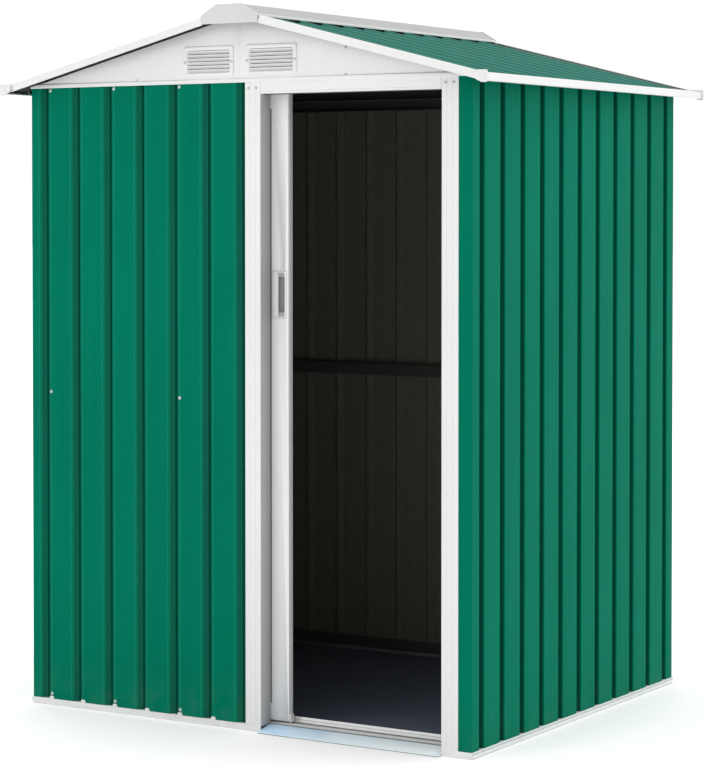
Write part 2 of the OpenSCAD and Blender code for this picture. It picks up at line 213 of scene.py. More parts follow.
class ShedFinishes(bpy.types.PropertyGroup):
    """Colours and gloss of the finishes."""

    green: FloatVectorProperty(
        name="Wall Green",
        description="Paint of the wall sheets and the door panel",
        subtype="COLOR",
        size=3,
        default=(0.0004, 0.155, 0.092),
    )
    roof: FloatVectorProperty(
        name="Roof Green",
        description="Paint of the roof sheets",
        subtype="COLOR",
        size=3,
        default=(0.026, 0.182, 0.138),
    )
    back_coat: FloatVectorProperty(
        name="Backing Coat",
        description="Dull primer on the inside of the sheets",
        subtype="COLOR",
        size=3,
        default=(0.185, 0.182, 0.148),
    )
    white: FloatVectorProperty(
        name="Trim White",
        description="Paint of the rails, trims, jambs and gables",
        subtype="COLOR",
        size=3,
        default=(0.72, 0.72, 0.72),
    )
    zinc: FloatVectorProperty(
        name="Zinc",
        description="Bare galvanised steel",
        subtype="COLOR",
        size=3,
        default=(0.82, 0.96, 1.00),
    )
    plastic: FloatVectorProperty(
        name="Plastic",
        description="Moulded plastic of the handle, rollers and caps",
        subtype="COLOR",
        size=3,
        default=(0.68, 0.68, 0.68),
    )
    floor: FloatVectorProperty(
        name="Floor",
        description="Dark panel on the shed's floor",
        subtype="COLOR",
        size=3,
        default=(0.105, 0.125, 0.175),
    )
    gloss: FloatProperty(
        name="Paint Roughness",
        description="Roughness of the sheets' paint",
        default=0.36,
        min=0.0,
        max=1.0,
        subtype="FACTOR",
    )


class ShedStageSizes(bpy.types.PropertyGroup):
    """The studio floor, the lights and the camera."""

    floor_size: FloatProperty(
        name="Floor Size",
        description="Side of the pale studio floor",
        default=120.0,
        unit="LENGTH",
    )
    sky: FloatProperty(
        name="Room Light",
        description="Strength of the even light from all round",
        default=1.0,
        min=0.0,
    )
    key: FloatProperty(
        name="Key Light",
        description="Power of the large lamp in front",
        default=60.0,
        unit="POWER",
    )
    lens: FloatProperty(
        name="Lens",
        description="Focal length of the camera",
        default=118.58,
        subtype="DISTANCE_CAMERA",
    )
    azimuth: FloatProperty(
        name="Camera Azimuth",
        description="Direction of the camera's line of sight, left of straight back",
        default=math.radians(31.691),
        subtype="ANGLE",
    )
    pitch: FloatProperty(
        name="Camera Pitch",
        description="How far the camera looks down",
        default=math.radians(1.489),
        subtype="ANGLE",
    )
    place: FloatVectorProperty(
        name="Camera Place",
        description="Where the camera stands",
        subtype="TRANSLATION",
        size=3,
        default=(3.858, -6.282, 1.430),
    )
    shift: FloatProperty(
        name="Camera Shift",
        description="Vertical shift of the lens",
        default=-0.15,
    )


def sheet_sizes():
    return bpy.context.scene.shed_sheets


def trim_sizes():
    return bpy.context.scene.shed_trims


def screw_sizes():
    return bpy.context.scene.shed_screws


def vent_sizes():
    return bpy.context.scene.shed_vents


def finishes():
    return bpy.context.scene.shed_finishes


def stage_sizes():
    return bpy.context.scene.shed_stage


# ---------------------------------------------------------------- node trees


class Num:
    """A number socket of a node tree, worked on with Python's own signs."""

    def __init__(self, net, socket):
        self.net = net
        self.socket = socket

    def worked(self, operation, *values):
        node = self.net.add(
            "ShaderNodeMath", {"operation": operation}, dict(enumerate(values))
        )
        return Num(self.net, node.outputs[0])

    def __add__(self, other):
        return self.worked("ADD", self, other)

    def __radd__(self, other):
        return self.worked("ADD", other, self)

    def __sub__(self, other):
        return self.worked("SUBTRACT", self, other)

    def __rsub__(self, other):
        return self.worked("SUBTRACT", other, self)

    def __mul__(self, other):
        return self.worked("MULTIPLY", self, other)

    def __rmul__(self, other):
        return self.worked("MULTIPLY", other, self)

    def __truediv__(self, other):
        return self.worked("DIVIDE", self, other)

    def __rtruediv__(self, other):
        return self.worked("DIVIDE", other, self)

    def least(self, other):
        return self.worked("MINIMUM", self, other)

    def most(self, other):
        return self.worked("MAXIMUM", self, other)

    def over(self, other):
        return self.worked("GREATER_THAN", self, other)

    def under(self, other):
        return self.worked("LESS_THAN", self, other)

    def between(self, low, high):
        return self.over(low) * self.under(high)

    def wrapped(self, other):
        return self.worked("FLOORED_MODULO", self, other)

    def size(self):
        """The number without its sign."""
        return self.most(0 - self)

    def eased(self, low, high):
        """0 below low, 1 above high and a soft step between them."""
        node = self.net.add(
            "ShaderNodeMapRange",
            {"interpolation_type": "SMOOTHSTEP"},
            {"Value": self, "From Min": low, "From Max": high},
        )
        return Num(self.net, node.outputs["Result"])


class Net:
    """A node tree while it is being laid out."""

    def __init__(self, tree):
        self.tree = tree
        tree.nodes.clear()

    def socket(self, node, key):
        if isinstance(key, int):
            return node.inputs[key]
        for field in ("identifier", "name"):
            for socket in node.inputs:
                if getattr(socket, field) == key:
                    return socket
        raise KeyError(f"{node.bl_idname} has no input {key!r}")

    def add(self, kind, settings=None, sockets=None):
        node = self.tree.nodes.new(kind)
        for key, value in (settings or {}).items():
            setattr(node, key, value)
        for key, value in (sockets or {}).items():
            socket = self.socket(node, key)
            if isinstance(value, Num):
                value = value.socket
            if isinstance(value, bpy.types.NodeSocket):
                self.tree.links.new(value, socket)
            else:
                socket.default_value = value
        return node

    def num(self, kind, settings=None, sockets=None, out=0):
        """The same, with the node's number as something to work on."""
        return Num(self, self.add(kind, settings, sockets).outputs[out])

    def vector(self, parts):
        return self.add("ShaderNodeCombineXYZ", None, parts).outputs[0]

    def geometry(self, kind, first, sockets=None, settings=None):
        """What a geometry node makes of the geometry that goes in first."""
        sockets = {0: first, **(sockets or {})}
        return self.add("GeometryNode" + kind, settings, sockets).outputs[0]

    def stored(self, geometry, domain, name, value, sockets=None):
        """The geometry with a number kept on each point or face."""
        return self.geometry(
            "StoreNamedAttribute",
            geometry,
            {"Name": name, "Value": value, **(sockets or {})},
            {"data_type": "FLOAT", "domain": domain},
        )


# ---------------------------------------------------------------- finishes

DUST = (0.23, 0.22, 0.19, 1.0)
GRIME = (0.36, 0.33, 0.28, 1.0)
SEAM_SHADE = (0.22, 0.36, 0.35, 1.0)
TRACK_SHADE = (0.075, 0.080, 0.080, 1.0)
RAMP_SHADE = (0.05, 0.08, 0.085, 1.0)
SCUFFS = (0.10, 0.09, 0.08, 1.0)
UNDER_CAP = (0.003, 0.004, 0.004, 1.0)
INDOOR_SHADE = (0.026, 0.028, 0.026, 1.0)
RECESS_SHADE = (0.16, 0.16, 0.16, 1.0)
BLUE_CAST = (0.46, 0.72, 1.0, 1.0)
EDGE_HIGHLIGHT = (0.9, 0.97, 1.0, 1.0)
DULL_ZINC = (0.60, 0.62, 0.64, 1.0)
SCREW_TONES = ((0.52, 0.53, 0.54, 1.0), (0.70, 0.71, 0.72, 1.0))
PAPER_TONES = ((0.95, 0.95, 0.95, 1.0), (0.97, 0.97, 0.97, 1.0))
PURE_WHITE = (1.0, 1.0, 1.0, 1.0)


def rgba(colour, light=1.0, lift=0.0):
    return (*(min(1.0, part * light + lift) for part in colour), 1.0)


class Coating(Net):
    """A material's nodes, measured in metres on the shed."""

    def __init__(self, name):
        self.material = bpy.data.materials.new(name)
        self.material.use_nodes = True
        super().__init__(self.material.node_tree)
        self.place = self.add("ShaderNodeTexCoord").outputs["Object"]
        parts = self.add("ShaderNodeSeparateXYZ", None, {"Vector": self.place})
        self.x, self.y, self.z = (Num(self, parts.outputs[i]) for i in range(3))

    def stretched(self, scale):
        return self.add(
            "ShaderNodeMapping", None, {"Vector": self.place, "Scale": scale}
        ).outputs["Vector"]

    def cloud(self, scale, detail=2.0, rough=0.5, stretch=None):
        """Soft noise from about 0 to 1."""
        return self.num(
            "ShaderNodeTexNoise",
            None,
            {
                "Vector": self.stretched(stretch) if stretch else self.place,
                "Scale": scale,
                "Detail": detail,
                "Roughness": rough,
            },
            "Fac",
        )

    def mark(self, name):
        """A number that the mesh carries with it."""
        return self.num("ShaderNodeAttribute", {"attribute_name": name}, None, "Fac")

    def blend(self, factor, first, second):
        return self.add(
            "ShaderNodeMix",
            {"data_type": "RGBA"},
            {"Factor_Float": factor, "A_Color": first, "B_Color": second},
        ).outputs[2]

    def mottled(self, level, colour, dark, light):
        """A colour that wavers between a darker and a lighter tone."""
        return self.blend(
            level.eased(0.3, 0.7), rgba(colour, dark), rgba(colour, light)
        )

    def layered(self, paint, *layers):
        """The paint with each (amount, colour) laid over it in turn."""
        for amount, colour in layers:
            paint = self.blend(amount, paint, colour)
        return paint

    def relief(self, height):
        """Surface normals for a height in metres."""
        sockets = {"Strength": 1.0, "Distance": 1.0, "Height": height}
        return self.add("ShaderNodeBump", None, sockets).outputs["Normal"]

    def finish(self, sockets):
        """Ends the tree in one Principled shader with those sockets."""
        shader = self.add("ShaderNodeBsdfPrincipled", None, sockets)
        self.add("ShaderNodeOutputMaterial", None, {"Surface": shader.outputs[0]})
        return self.material


def painted_sheet(name, colour, rough, streaks, index, shade, back_light):
    """Stove paint on ribbed sheet, with a dull primer on the back.

    streaks stretches the rain marks, index is the paint's index of refraction,
    shade says how strongly painted shade darkens the ribs' sides and painted
    highlights lighten their crests, and back_light how light the primer is.
    """
    c = Coating(name)
    tone = c.cloud(1.6, 2.0)
    fine = c.cloud(55.0, 3.0)
    runs = c.cloud(1.0, 3.0, 0.6, streaks)
    level = tone * 0.45 + fine * 0.15 + runs * 0.40
    paint = c.blend(level.eased(0.25, 0.75), rgba(colour, 0.90), rgba(colour, 1.10))
    # fold is 0 on the flat and 1 on a rib's floor; lean is -1 on one side of the rib
    # and 1 on the other
    fold, lean = c.mark("fold"), c.mark("lean")
    # painted highlight on each rib's crests and beads, and painted shade down both of
    # its sides, darker on one side
    crest_highlight = fold.eased(0.01, 0.05) * (1 - fold.eased(0.12, 0.20))
    lit_flank_shade = (0 - lean).eased(0.08, 0.5)
    dark_flank_shade = (lean + fold * 0.8).eased(0.10, 0.75)
    # no light reaches the sheets under the ridge cap
    cap_edge = high("ridge_cap").x
    covered = 1 - c.x.size().eased(cap_edge, cap_edge + 0.002)
    covered = covered * c.z.over(low("ridge_end_plates").z)
    foot = 1 - c.z.eased(0.02, 0.16)
    dust = foot * c.cloud(24.0, 4.0).eased(0.35, 0.8) * 0.05
    paint = c.layered(
        paint,
        (crest_highlight * shade * 0.55, rgba(colour, 1.35, 0.010)),
        (lit_flank_shade * shade * 0.75, rgba(colour, 0.68, 0.009)),
        (dark_flank_shade * shade, rgba(colour, 0.27)),
        (covered * 0.95, UNDER_CAP),
        (dust, DUST),
    )
    primer = c.mottled(
        fine, finishes().back_coat, 0.94 * back_light, 1.06 * back_light
    )
    back = c.mark("back")
    peel = c.cloud(700.0, 1.0) * 0.000012
    dents = c.cloud(1.0, 1.0, 0.5, (7.0, 7.0, 1.6)) * 0.0011
    return c.finish(
        {
            "Base Color": c.blend(back, paint, primer),
            "Roughness": rough + fine * 0.06 + runs * 0.05 + dust * 0.8 + back * 0.25,
            "IOR": index,
            "Normal": c.relief(peel + dents),
        }
    )


@cache
def green_paint():
    return painted_sheet(
        "Green Sheet Paint",
        finishes().green,
        finishes().gloss,
        streaks=(26.0, 26.0, 0.9),
        index=1.06,
        shade=0.92,
        back_light=1.0,
    )


@cache
def roof_paint():
    return painted_sheet(
        "Roof Sheet Paint",
        finishes().roof,
        0.45,
        streaks=(2.0, 30.0, 2.0),
        index=1.22,
        shade=0.0,
        # the roof's underside is darkened almost to black as painted shade
        back_light=0.06,
    )


def white_coat(name, light, rough):
    """White stove paint on folded steel.

    It is dirtier along the ground, and has painted shade in the side rails' seams,
    indoors and down the left jamb's return.
    """
    c = Coating(name)
    tone = c.cloud(2.3, 2.0)
    fine = c.cloud(70.0, 3.0)
    across, along = c.x.size(), c.y.size()
    paint = c.mottled(
        tone * 0.7 + fine * 0.3, finishes().white, 0.965 * light, 1.02 * light
    )
    # painted shade: two dark lines along each side rail, under its step and where it
    # meets the ground
    side_rails = across.over(WALL.x + 0.002) * c.z.under(RAIL_TOP)
    seam_shade = (c.z.between(0.0115, 0.0150) + c.z.under(0.0018)) * side_rails
    foot = 1 - c.z.eased(0.0, 0.10)
    grime = foot * c.cloud(38.0, 4.0).eased(0.4, 0.85) * 0.16
    # painted shade on the faces that look into the room: the base rails' upstands and
    # the gables' backs
    rails = (
        across.under(WALL.x - 0.012)
        * along.under(WALL.y - 0.012)
        * c.y.over(FRONT + 0.110)
        * c.z.under(0.10)
    )
    gables = (
        across.under(WALL.x + 0.001)
        * along.under(WALL.y + 0.0004)
        * c.z.between(WALL.z + 0.0006, low("ridge_cap").z - 0.004)
    )
    # painted shade: the left jamb's return gets darker the further it runs in
    jamb_back = high("left_door_jamb").y
    reveal_shade = c.x.between(DOORWAY[0] - 0.0004, DOORWAY[0] + 0.0004)
    reveal_shade = reveal_shade * c.y.under(jamb_back + 0.001) * c.z.under(WALL.z)
    depth = c.y.eased(FRONT, jamb_back + 0.004)
    paint = c.layered(
        paint,
        (seam_shade * 0.8, SEAM_SHADE),
        (grime, GRIME),
        ((rails + gables) * 0.94, INDOOR_SHADE),
        (reveal_shade * (depth * 0.45 + 0.35), RECESS_SHADE),
    )
    peel = c.cloud(650.0, 1.0) * 0.000010 + c.cloud(9.0, 1.0) * 0.00035
    return c.finish(
        {
            "Base Color": paint,
            "Roughness": rough + fine * 0.06 + grime * 1.2,
            "Normal": c.relief(peel),
        }
    )


@cache
def white_paint():
    return white_coat("White Trim Paint", 1.0, 0.34)


@cache
def door_paint():
    """The door's stiles and rails."""
    return white_coat("Door Frame Paint", 1.16, 0.34)


@cache
def return_paint():
    """The stile's inner return: the white darkened to painted shade."""
    return white_coat("Stile Return Paint", 0.40, 0.5)


@cache
def cap_paint():
    """The ridge cap: the white darkened to painted shade."""
    return white_coat("Ridge Cap Paint", 0.50, 0.45)


@cache
def plate_paint():
    """The plates that close the ends of the ridge cap."""
    return white_coat("End Plate Paint", 0.80, 0.42)


@cache
def inner_paint():
    """The frame inside: the same white at a tenth of its lightness."""
    return white_coat("Inner Frame Paint", 0.10, 0.6)


@cache
def ramp_skin():
    """The threshold ramp: rolled zinc with a blue cast, painted shade along its edges
    and a painted highlight on its nose.
    """
    c = Coating("Ramp Zinc")
    rolled = c.cloud(1.0, 3.0, 0.6, (4.0, 120.0, 120.0))
    patch = c.cloud(5.0, 2.0)
    end = 1 - c.x.eased(DOORWAY[0] + 0.03, DOORWAY[0] + 0.28)
    blue = (patch.eased(0.45, 0.75) * 0.5 + end * 0.7).least(0.9)
    face = low("threshold_ramp").y
    # painted shade along the ramp's foot and along its top edge under the track
    edges = 1 - c.z.eased(0.0016, 0.0030)
    edges = edges + c.z.eased(RAIL_TOP - 0.0014, RAIL_TOP - 0.0006)
    # painted highlight along the ramp's nose
    nose_highlight = c.y.under(face + 0.0035) * c.z.over(0.0024)
    skin = c.layered(
        c.mottled(rolled, finishes().zinc, 0.98, 1.14),
        (blue, BLUE_CAST),
        (edges.least(1) * 0.85, RAMP_SHADE),
        (nose_highlight * 0.4, EDGE_HIGHLIGHT),
    )
    return c.finish(
        {
            "Base Color": skin,
            "Metallic": 0.02,
            "Roughness": 0.30 + rolled * 0.12,
            "Normal": c.relief(rolled * 0.00005),
        }
    )


@cache
def track_paint():
    """The lower track: clean white, lightened as painted light, with painted shade in
    its corner and along its lip.
    """
    c = Coating("Track Paint")
    fine = c.cloud(70.0, 3.0)
    back, top = high("lower_door_track").y, high("lower_door_track").z
    lip_y, line = -0.5690, 0.0015
    # painted shade in the track's back corner, in the crease along its lip, along its
    # front edge and faintly over its sill
    sill = c.z.under(RAIL_TOP + 0.0004)
    corner = sill * c.y.eased(back - 0.020, back - 0.012)
    crease = c.z.between(top - 0.0085, top - 0.0070)
    front_edge = sill * (1 - c.y.eased(lip_y, lip_y + line)) * c.y.over(lip_y - line)
    shade_mask = corner * 0.80 + crease * 0.55 + front_edge * 0.6 + sill * 0.12
    shade_mask = shade_mask.least(0.9)
    # painted light: the track's white is lightened so that its lip, which stands in
    # shade, reads bright
    paint = c.mottled(fine, finishes().white, 1.12, 1.2)
    return c.finish(
        {
            "Base Color": c.blend(shade_mask, paint, TRACK_SHADE),
            "Roughness": 0.36 + shade_mask * 0.3,
            "Normal": c.relief(fine * 0.00002),
        }
    )


@cache
def zinc_skin():
    """Galvanised steel: flat crystals of slightly different tone and tilt."""
    c = Coating("Galvanised Zinc")
    waver = c.add("ShaderNodeTexNoise", None, {"Vector": c.place, "Scale": 60.0})
    bent = c.add(
        "ShaderNodeVectorMath",
        {"operation": "MULTIPLY_ADD"},
        {0: waver.outputs["Color"], 1: (0.004, 0.004, 0.004), 2: c.place},
    ).outputs["Vector"]
    cells = c.add("ShaderNodeTexVoronoi", None, {"Vector": bent, "Scale": 85.0})
    parts = c.add("ShaderNodeSeparateColor", None, {"Color": cells.outputs["Color"]})
    tone, tilt = Num(c, parts.outputs[0]), Num(c, parts.outputs[1])
    zinc = finishes().zinc
    skin = c.blend(tone, rgba(zinc, 0.60), rgba(zinc, 0.78))
    dull = c.cloud(6.0).eased(0.45, 0.8) * 0.25
    return c.finish(
        {
            "Base Color": c.blend(dull, skin, DULL_ZINC),
            "Metallic": 0.10,
            "Roughness": 0.34 + tilt * 0.12,
            "Normal": c.relief(tone * 0.00006 + c.cloud(240.0) * 0.00002),
        }
    )


def plastic_skin(name, dark, light, shadow=None):
    """Moulded plastic with a fine spark-eroded grain, and a shadow if it has one."""
    c = Coating(name)
    plastic = finishes().plastic
    fine = c.cloud(120.0, 3.0)
    shade = c.mottled(fine, plastic, dark, light)
    if shadow:
        shade = c.blend(shadow(c) * 0.80, shade, rgba(plastic, 0.36))
    return c.finish(
        {
            "Base Color": shade,
            "Roughness": 0.42 + fine * 0.08,
            "Normal": c.relief(c.cloud(1500.0, 2.0) * 0.000018),
        }
    )


def pull_shadow(c):
    """Shade above and below the pull's recess, and along its plate's ends."""
    a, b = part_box("door_handle")
    up = (c.z - (a.z + b.z) / 2).size()
    column = c.x.eased(b.x - 0.0275, b.x - 0.0255)
    column = column * (1 - c.x.eased(b.x - 0.0065, b.x - 0.0050))
    runout = column * (1 - up.eased(0.0590, 0.0605))
    ends = up.eased(0.0600, 0.0625) * 0.45
    return runout.most(ends)


@cache
def moulded_plastic():
    return plastic_skin("Moulded Plastic", 0.96, 1.03)


@cache
def white_plastic():
    return plastic_skin("White Plastic", 0.9792, 1.0506)


@cache
def pull_plastic():
    return plastic_skin("Pull Plate Plastic", 1.06, 1.14, pull_shadow)


# the pull's cup: the same plastic darkened as painted shade
@cache
def cup_plastic():
    return plastic_skin("Pull Cup Plastic", 0.3456, 0.3708)


@cache
def screw_steel():
    """Bright zinc-plated screws."""
    c = Coating("Plated Screws")
    fine = c.cloud(900.0, 2.0)
    return c.finish(
        {
            "Base Color": c.blend(fine, *SCREW_TONES),
            "Metallic": 0.6,
            "Roughness": 0.36 + fine * 0.12,
        }
    )


@cache
def dark_panel():
    """The floor: dark coated board with a low sheen, scuffed and dusty."""
    c = Coating("Dark Floor Panel")
    grain = c.cloud(1.0, 4.0, 0.6, (5.0, 90.0, 5.0))
    patches = c.cloud(4.0, 4.0, 0.6)
    shade = c.mottled(grain, finishes().floor, 0.75, 1.3)
    return c.finish(
        {
            "Base Color": c.blend(patches.eased(0.5, 0.9) * 0.2, shade, SCUFFS),
            "Roughness": 0.30 + patches * 0.18,
            "Normal": c.relief(grain * 0.00012),
        }
    )


# ---------------------------------------------------------------- folds and pieces


def eased_line(points, radius, steps=4, hold=0.0008):
    """The same line with its corners bent to a radius.

    The flats are held straight up to the bends by a point close to each.
    """
    points = [Vector(p) for p in points]
    line = [points[0]]
    for before, here, after in zip(points, points[1:], points[2:]):
        back, on = before - here, after - here
        reach = min(back.length, on.length) * 0.48
        back.normalize()
        on.normalize()
        turn = math.pi - back.angle(on)
        if turn < 0.03:
            line.append(here)
            continue
        cut = min(radius * math.tan(turn / 2), reach)
        start, end = here + back * cut, here + on * cut
        away = cut / math.tan(turn / 2) / math.cos(turn / 2)
        middle = here + (back + on).normalized() * away
        if reach > cut + hold:
            line.append(start + back * hold)
        for i in range(steps + 1):
            t = i / steps
            arm = (start - middle) * math.sin((1 - t) * turn)
            arm += (end - middle) * math.sin(t * turn)
            line.append(middle + arm / math.sin(turn))
        if reach > cut + hold:
            line.append(end + on * hold)
    line.append(points[-1])
    return line


def shifted(line, distance):
    """The line moved to its own left."""
    moved = []
    for i, here in enumerate(line):
        sides = []
        for a, b in ((i - 1, i), (i, i + 1)):
            if a >= 0 and b < len(line):
                along = (line[b] - line[a]).normalized()
                sides.append(Vector((-along.y, along.x)))
        left = sum(sides, Vector((0, 0))).normalized()
        moved.append(here + left * distance / max(0.5, left.dot(sides[0])))
    return moved


class Piece:
    """One piece of the shed while its mesh is being made."""

    def __init__(self):
        self.bm = bmesh.new()

    def fold(self, line, thickness, place, start, end):
        """A folded strip. The line is its outer face, with the metal to its left."""
        sides = (line, shifted(line, thickness))
        (out0, in0), (out1, in1) = (
            [[self.bm.verts.new(place(p.x, p.y, far)) for p in side] for side in sides]
            for far in (start, end)
        )
        new = self.bm.faces.new
        for a, b in zip(range(len(line) - 1), range(1, len(line))):
            new((out0[a], out0[b], out1[b], out1[a]))
            new((in0[b], in0[a], in1[a], in1[b]))
            new((out0[b], out0[a], in0[a], in0[b]))
            new((out1[a], out1[b], in1[b], in1[a]))
        for a in (0, -1):
            new((out0[a], out1[a], in1[a], in0[a]))
        return self

    def prism(self, outline, place, start, end):
        """A solid bar with that outline."""
        rings = [
            [self.bm.verts.new(place(p[0], p[1], far)) for p in outline]
            for far in (start, end)
        ]
        for ring in rings:
            self.bm.faces.new(ring)
        for a in range(len(outline)):
            b = (a + 1) % len(outline)
            self.bm.faces.new((rings[0][a], rings[0][b], rings[1][b], rings[1][a]))
        return self

    def lofted(self, rings, place, closed=False):
        """Rounded rectangles joined one to the next.

        Each is its middle, half sizes, corner radius and depth.
        """
        loops = []
        for (mx, mz), (hx, hz), radius, depth in rings:
            loop = []
            for turn, (sx, sz) in enumerate(((1, 1), (-1, 1), (-1, -1), (1, -1))):
                for k in range(6):
                    angle = (turn + k / 5) * math.pi / 2
                    u = mx + sx * (hx - radius) + radius * math.cos(angle)
                    v = mz + sz * (hz - radius) + radius * math.sin(angle)
                    loop.append(self.bm.verts.new(place(u, v, depth)))
            loops.append(loop)
        count = len(loops[0])
        pairs = list(zip(loops, loops[1:] + loops[:1]))
        for first, second in pairs if closed else pairs[:-1]:
            for a in range(count):
                b = (a + 1) % count
                self.bm.faces.new((first[a], first[b], second[b], second[a]))
        if not closed:
            self.bm.faces.new(loops[0])
            self.bm.faces.new(loops[-1])
        return self

    def copied(self, node):
        """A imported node's own shape, joined up and cleared of extra edges."""
        other = bmesh.new()
        other.from_mesh(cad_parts[node].data)
        bmesh.ops.remove_doubles(other, verts=other.verts, dist=0.00001)
        bmesh.ops.dissolve_limit(
            other,
            angle_limit=math.radians(0.5),
            verts=other.verts,
            edges=other.edges,
        )
        mesh = bpy.data.meshes.new("copied")
        other.to_mesh(mesh)
        other.free()
        self.bm.from_mesh(mesh)
        bpy.data.meshes.remove(mesh)
        return self

    def softened(self, width, chosen=None, segments=2):
        """Rounds the sharp edges, or the chosen ones."""
        edges = [
            e
            for e in self.bm.edges
            if e.is_manifold
            and e.calc_face_angle() > math.radians(20)
            and (chosen is None or chosen(e))
        ]
        bmesh.ops.bevel(
            self.bm,
            geom=edges,
            offset=width,
            offset_type="OFFSET",
            segments=segments,
            profile=0.5,
            affect="EDGES",
            clamp_overlap=True,
        )
        return self

    def made(self, name, smooth=35.0):
        bmesh.ops.remove_doubles(self.bm, verts=self.bm.verts, dist=0.000001)
        bmesh.ops.recalc_face_normals(self.bm, faces=self.bm.faces)
        mesh = bpy.data.meshes.new(name)
        self.bm.to_mesh(mesh)
        self.bm.free()
        return shown(name, mesh, smooth)


def shown(name, mesh, smooth=35.0):
    """An object for a mesh that is already in place, smooth up to that angle."""
    mesh.shade_smooth()
    mesh.set_sharp_from_angle(angle=math.radians(smooth))
    return linked(name, mesh)


def linked(name, data):
    thing = bpy.data.objects.new(name, data)
    bpy.context.scene.collection.objects.link(thing)
    return thing


def fitted(thing, material, body="shed", stands_for=()):
    """Gives a piece its finish and fixes it to the shed or the door."""
    thing.data.materials.clear()
    thing.data.materials.append(material)
    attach(thing, body)
    if stands_for:
        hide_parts(*stands_for)
    return thing


def trim(piece, name, *nodes, paint=None, body="shed", smooth=35.0):
    """A finished white trim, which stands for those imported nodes."""
    thing = piece.made(name, smooth)
    return fitted(thing, paint or white_paint(), body, nodes)


def refinished(material, *nodes):
    """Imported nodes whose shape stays, in a better finish."""
    for node in nodes:
        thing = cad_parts[node]
        for place in thing.material_slots:
            place.material = material


def mirrored_x(place, about=0.0):
    return lambda u, v, w: mirror_point(place(u, v, w), 0, about)


def mirrored_y(place):
    return lambda u, v, w: mirror_point(place(u, v, w), 1, 0.0)


def mirror_point(point, axis, about):
    point = Vector(point)
    point[axis] = 2 * about - point[axis]
    return point


def along_x(u, v, w):
    return (w, u, v)


def along_y(u, v, w):
    return (u, w, v)


def along_z(u, v, w):
    return (u, v, w)


# ---------------------------------------------------------------- places on the shed


def low(node):
    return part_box(node)[0]


def high(node):
    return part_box(node)[1]


WALL = high("back_wall")
FRONT = -WALL.y
DOORWAY = (high("left_door_jamb").x, low("right_door_jamb").x)
JAMB_FACE = low("left_door_jamb").y
RAIL_TOP = low("back_wall").z
# width and height of a vent's plate, then of the field that its slats fill
VENT = (0.166, 0.083, 0.137, 0.060)
PITCH = math.radians(14.0)
RIDGE_GAP = 0.006
RIB_RISE = 0.011
PAN_TOP = high("right_roof_sheet").z - RIB_RISE * math.cos(PITCH)
PAN_TOP = PAN_TOP + RIDGE_GAP * math.sin(PITCH)


def vent_places():
    """Middles of the two vents of a gable."""
    a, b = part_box("gable_vents")
    return [(side * (b.x - VENT[0] / 2), (a.z + b.z) / 2) for side in (-1, 1)]


def slope(u, v, w):
    """A point on the right roof slope.

    u runs along the shed, v square to the roof and w down from the ridge.
    """
    return (
        w * math.cos(PITCH) + v * math.sin(PITCH),
        u,
        PAN_TOP - w * math.sin(PITCH) + v * math.cos(PITCH),
    )


def rib_places(length):
    sizes = sheet_sizes()
    count = math.floor((length - 2 * sizes.margin) / sizes.pitch + 1e-6) + 1
    return [(i - (count - 1) / 2) * sizes.pitch for i in range(count)]


# ---------------------------------------------------------------- geometry node trees


def new_tree(name, inputs):
    """An empty geometry tree with a mesh input and output and the named inputs."""
    tree = bpy.data.node_groups.new(name, "GeometryNodeTree")
    face = tree.interface
    face.new_socket("Geometry", in_out="OUTPUT", socket_type="NodeSocketGeometry")
    face.new_socket("Geometry", in_out="INPUT", socket_type="NodeSocketGeometry")
    for label, kind in inputs:
        face.new_socket(label, in_out="INPUT", socket_type="NodeSocket" + kind)
    net = Net(tree)
    start = net.add("NodeGroupInput")
    return net, {s.name: s for s in start.outputs if s.name}


def finished_tree(net, whole, paint):
    """Ends a tree: its copies made real, all in that paint."""
    whole = net.geometry("RealizeInstances", whole)
    whole = net.geometry("SetMaterial", whole, {"Material": paint})
    net.add("NodeGroupOutput", None, {0: whole})
    return net.tree


def grown(name, mesh, tree, values):
    """Runs a geometry tree on a mesh and keeps the result as a plain mesh."""
    seed = linked(name + ".seed", mesh)
    modifier = seed.modifiers.new("Grow", "NODES")
    modifier.node_group = tree
    sockets = {
        s.name: s.identifier
        for s in tree.interface.items_tree
        if s.item_type == "SOCKET" and s.in_out == "INPUT"
    }
    for label, value in values.items():
        modifier[sockets[label]] = value
    graph = bpy.context.evaluated_depsgraph_get()
    made = bpy.data.meshes.new_from_object(
        seed.evaluated_get(graph), preserve_all_data_layers=True, depsgraph=graph
    )
    made.name = name
    bpy.data.objects.remove(seed)
    bpy.data.meshes.remove(mesh)
    return made


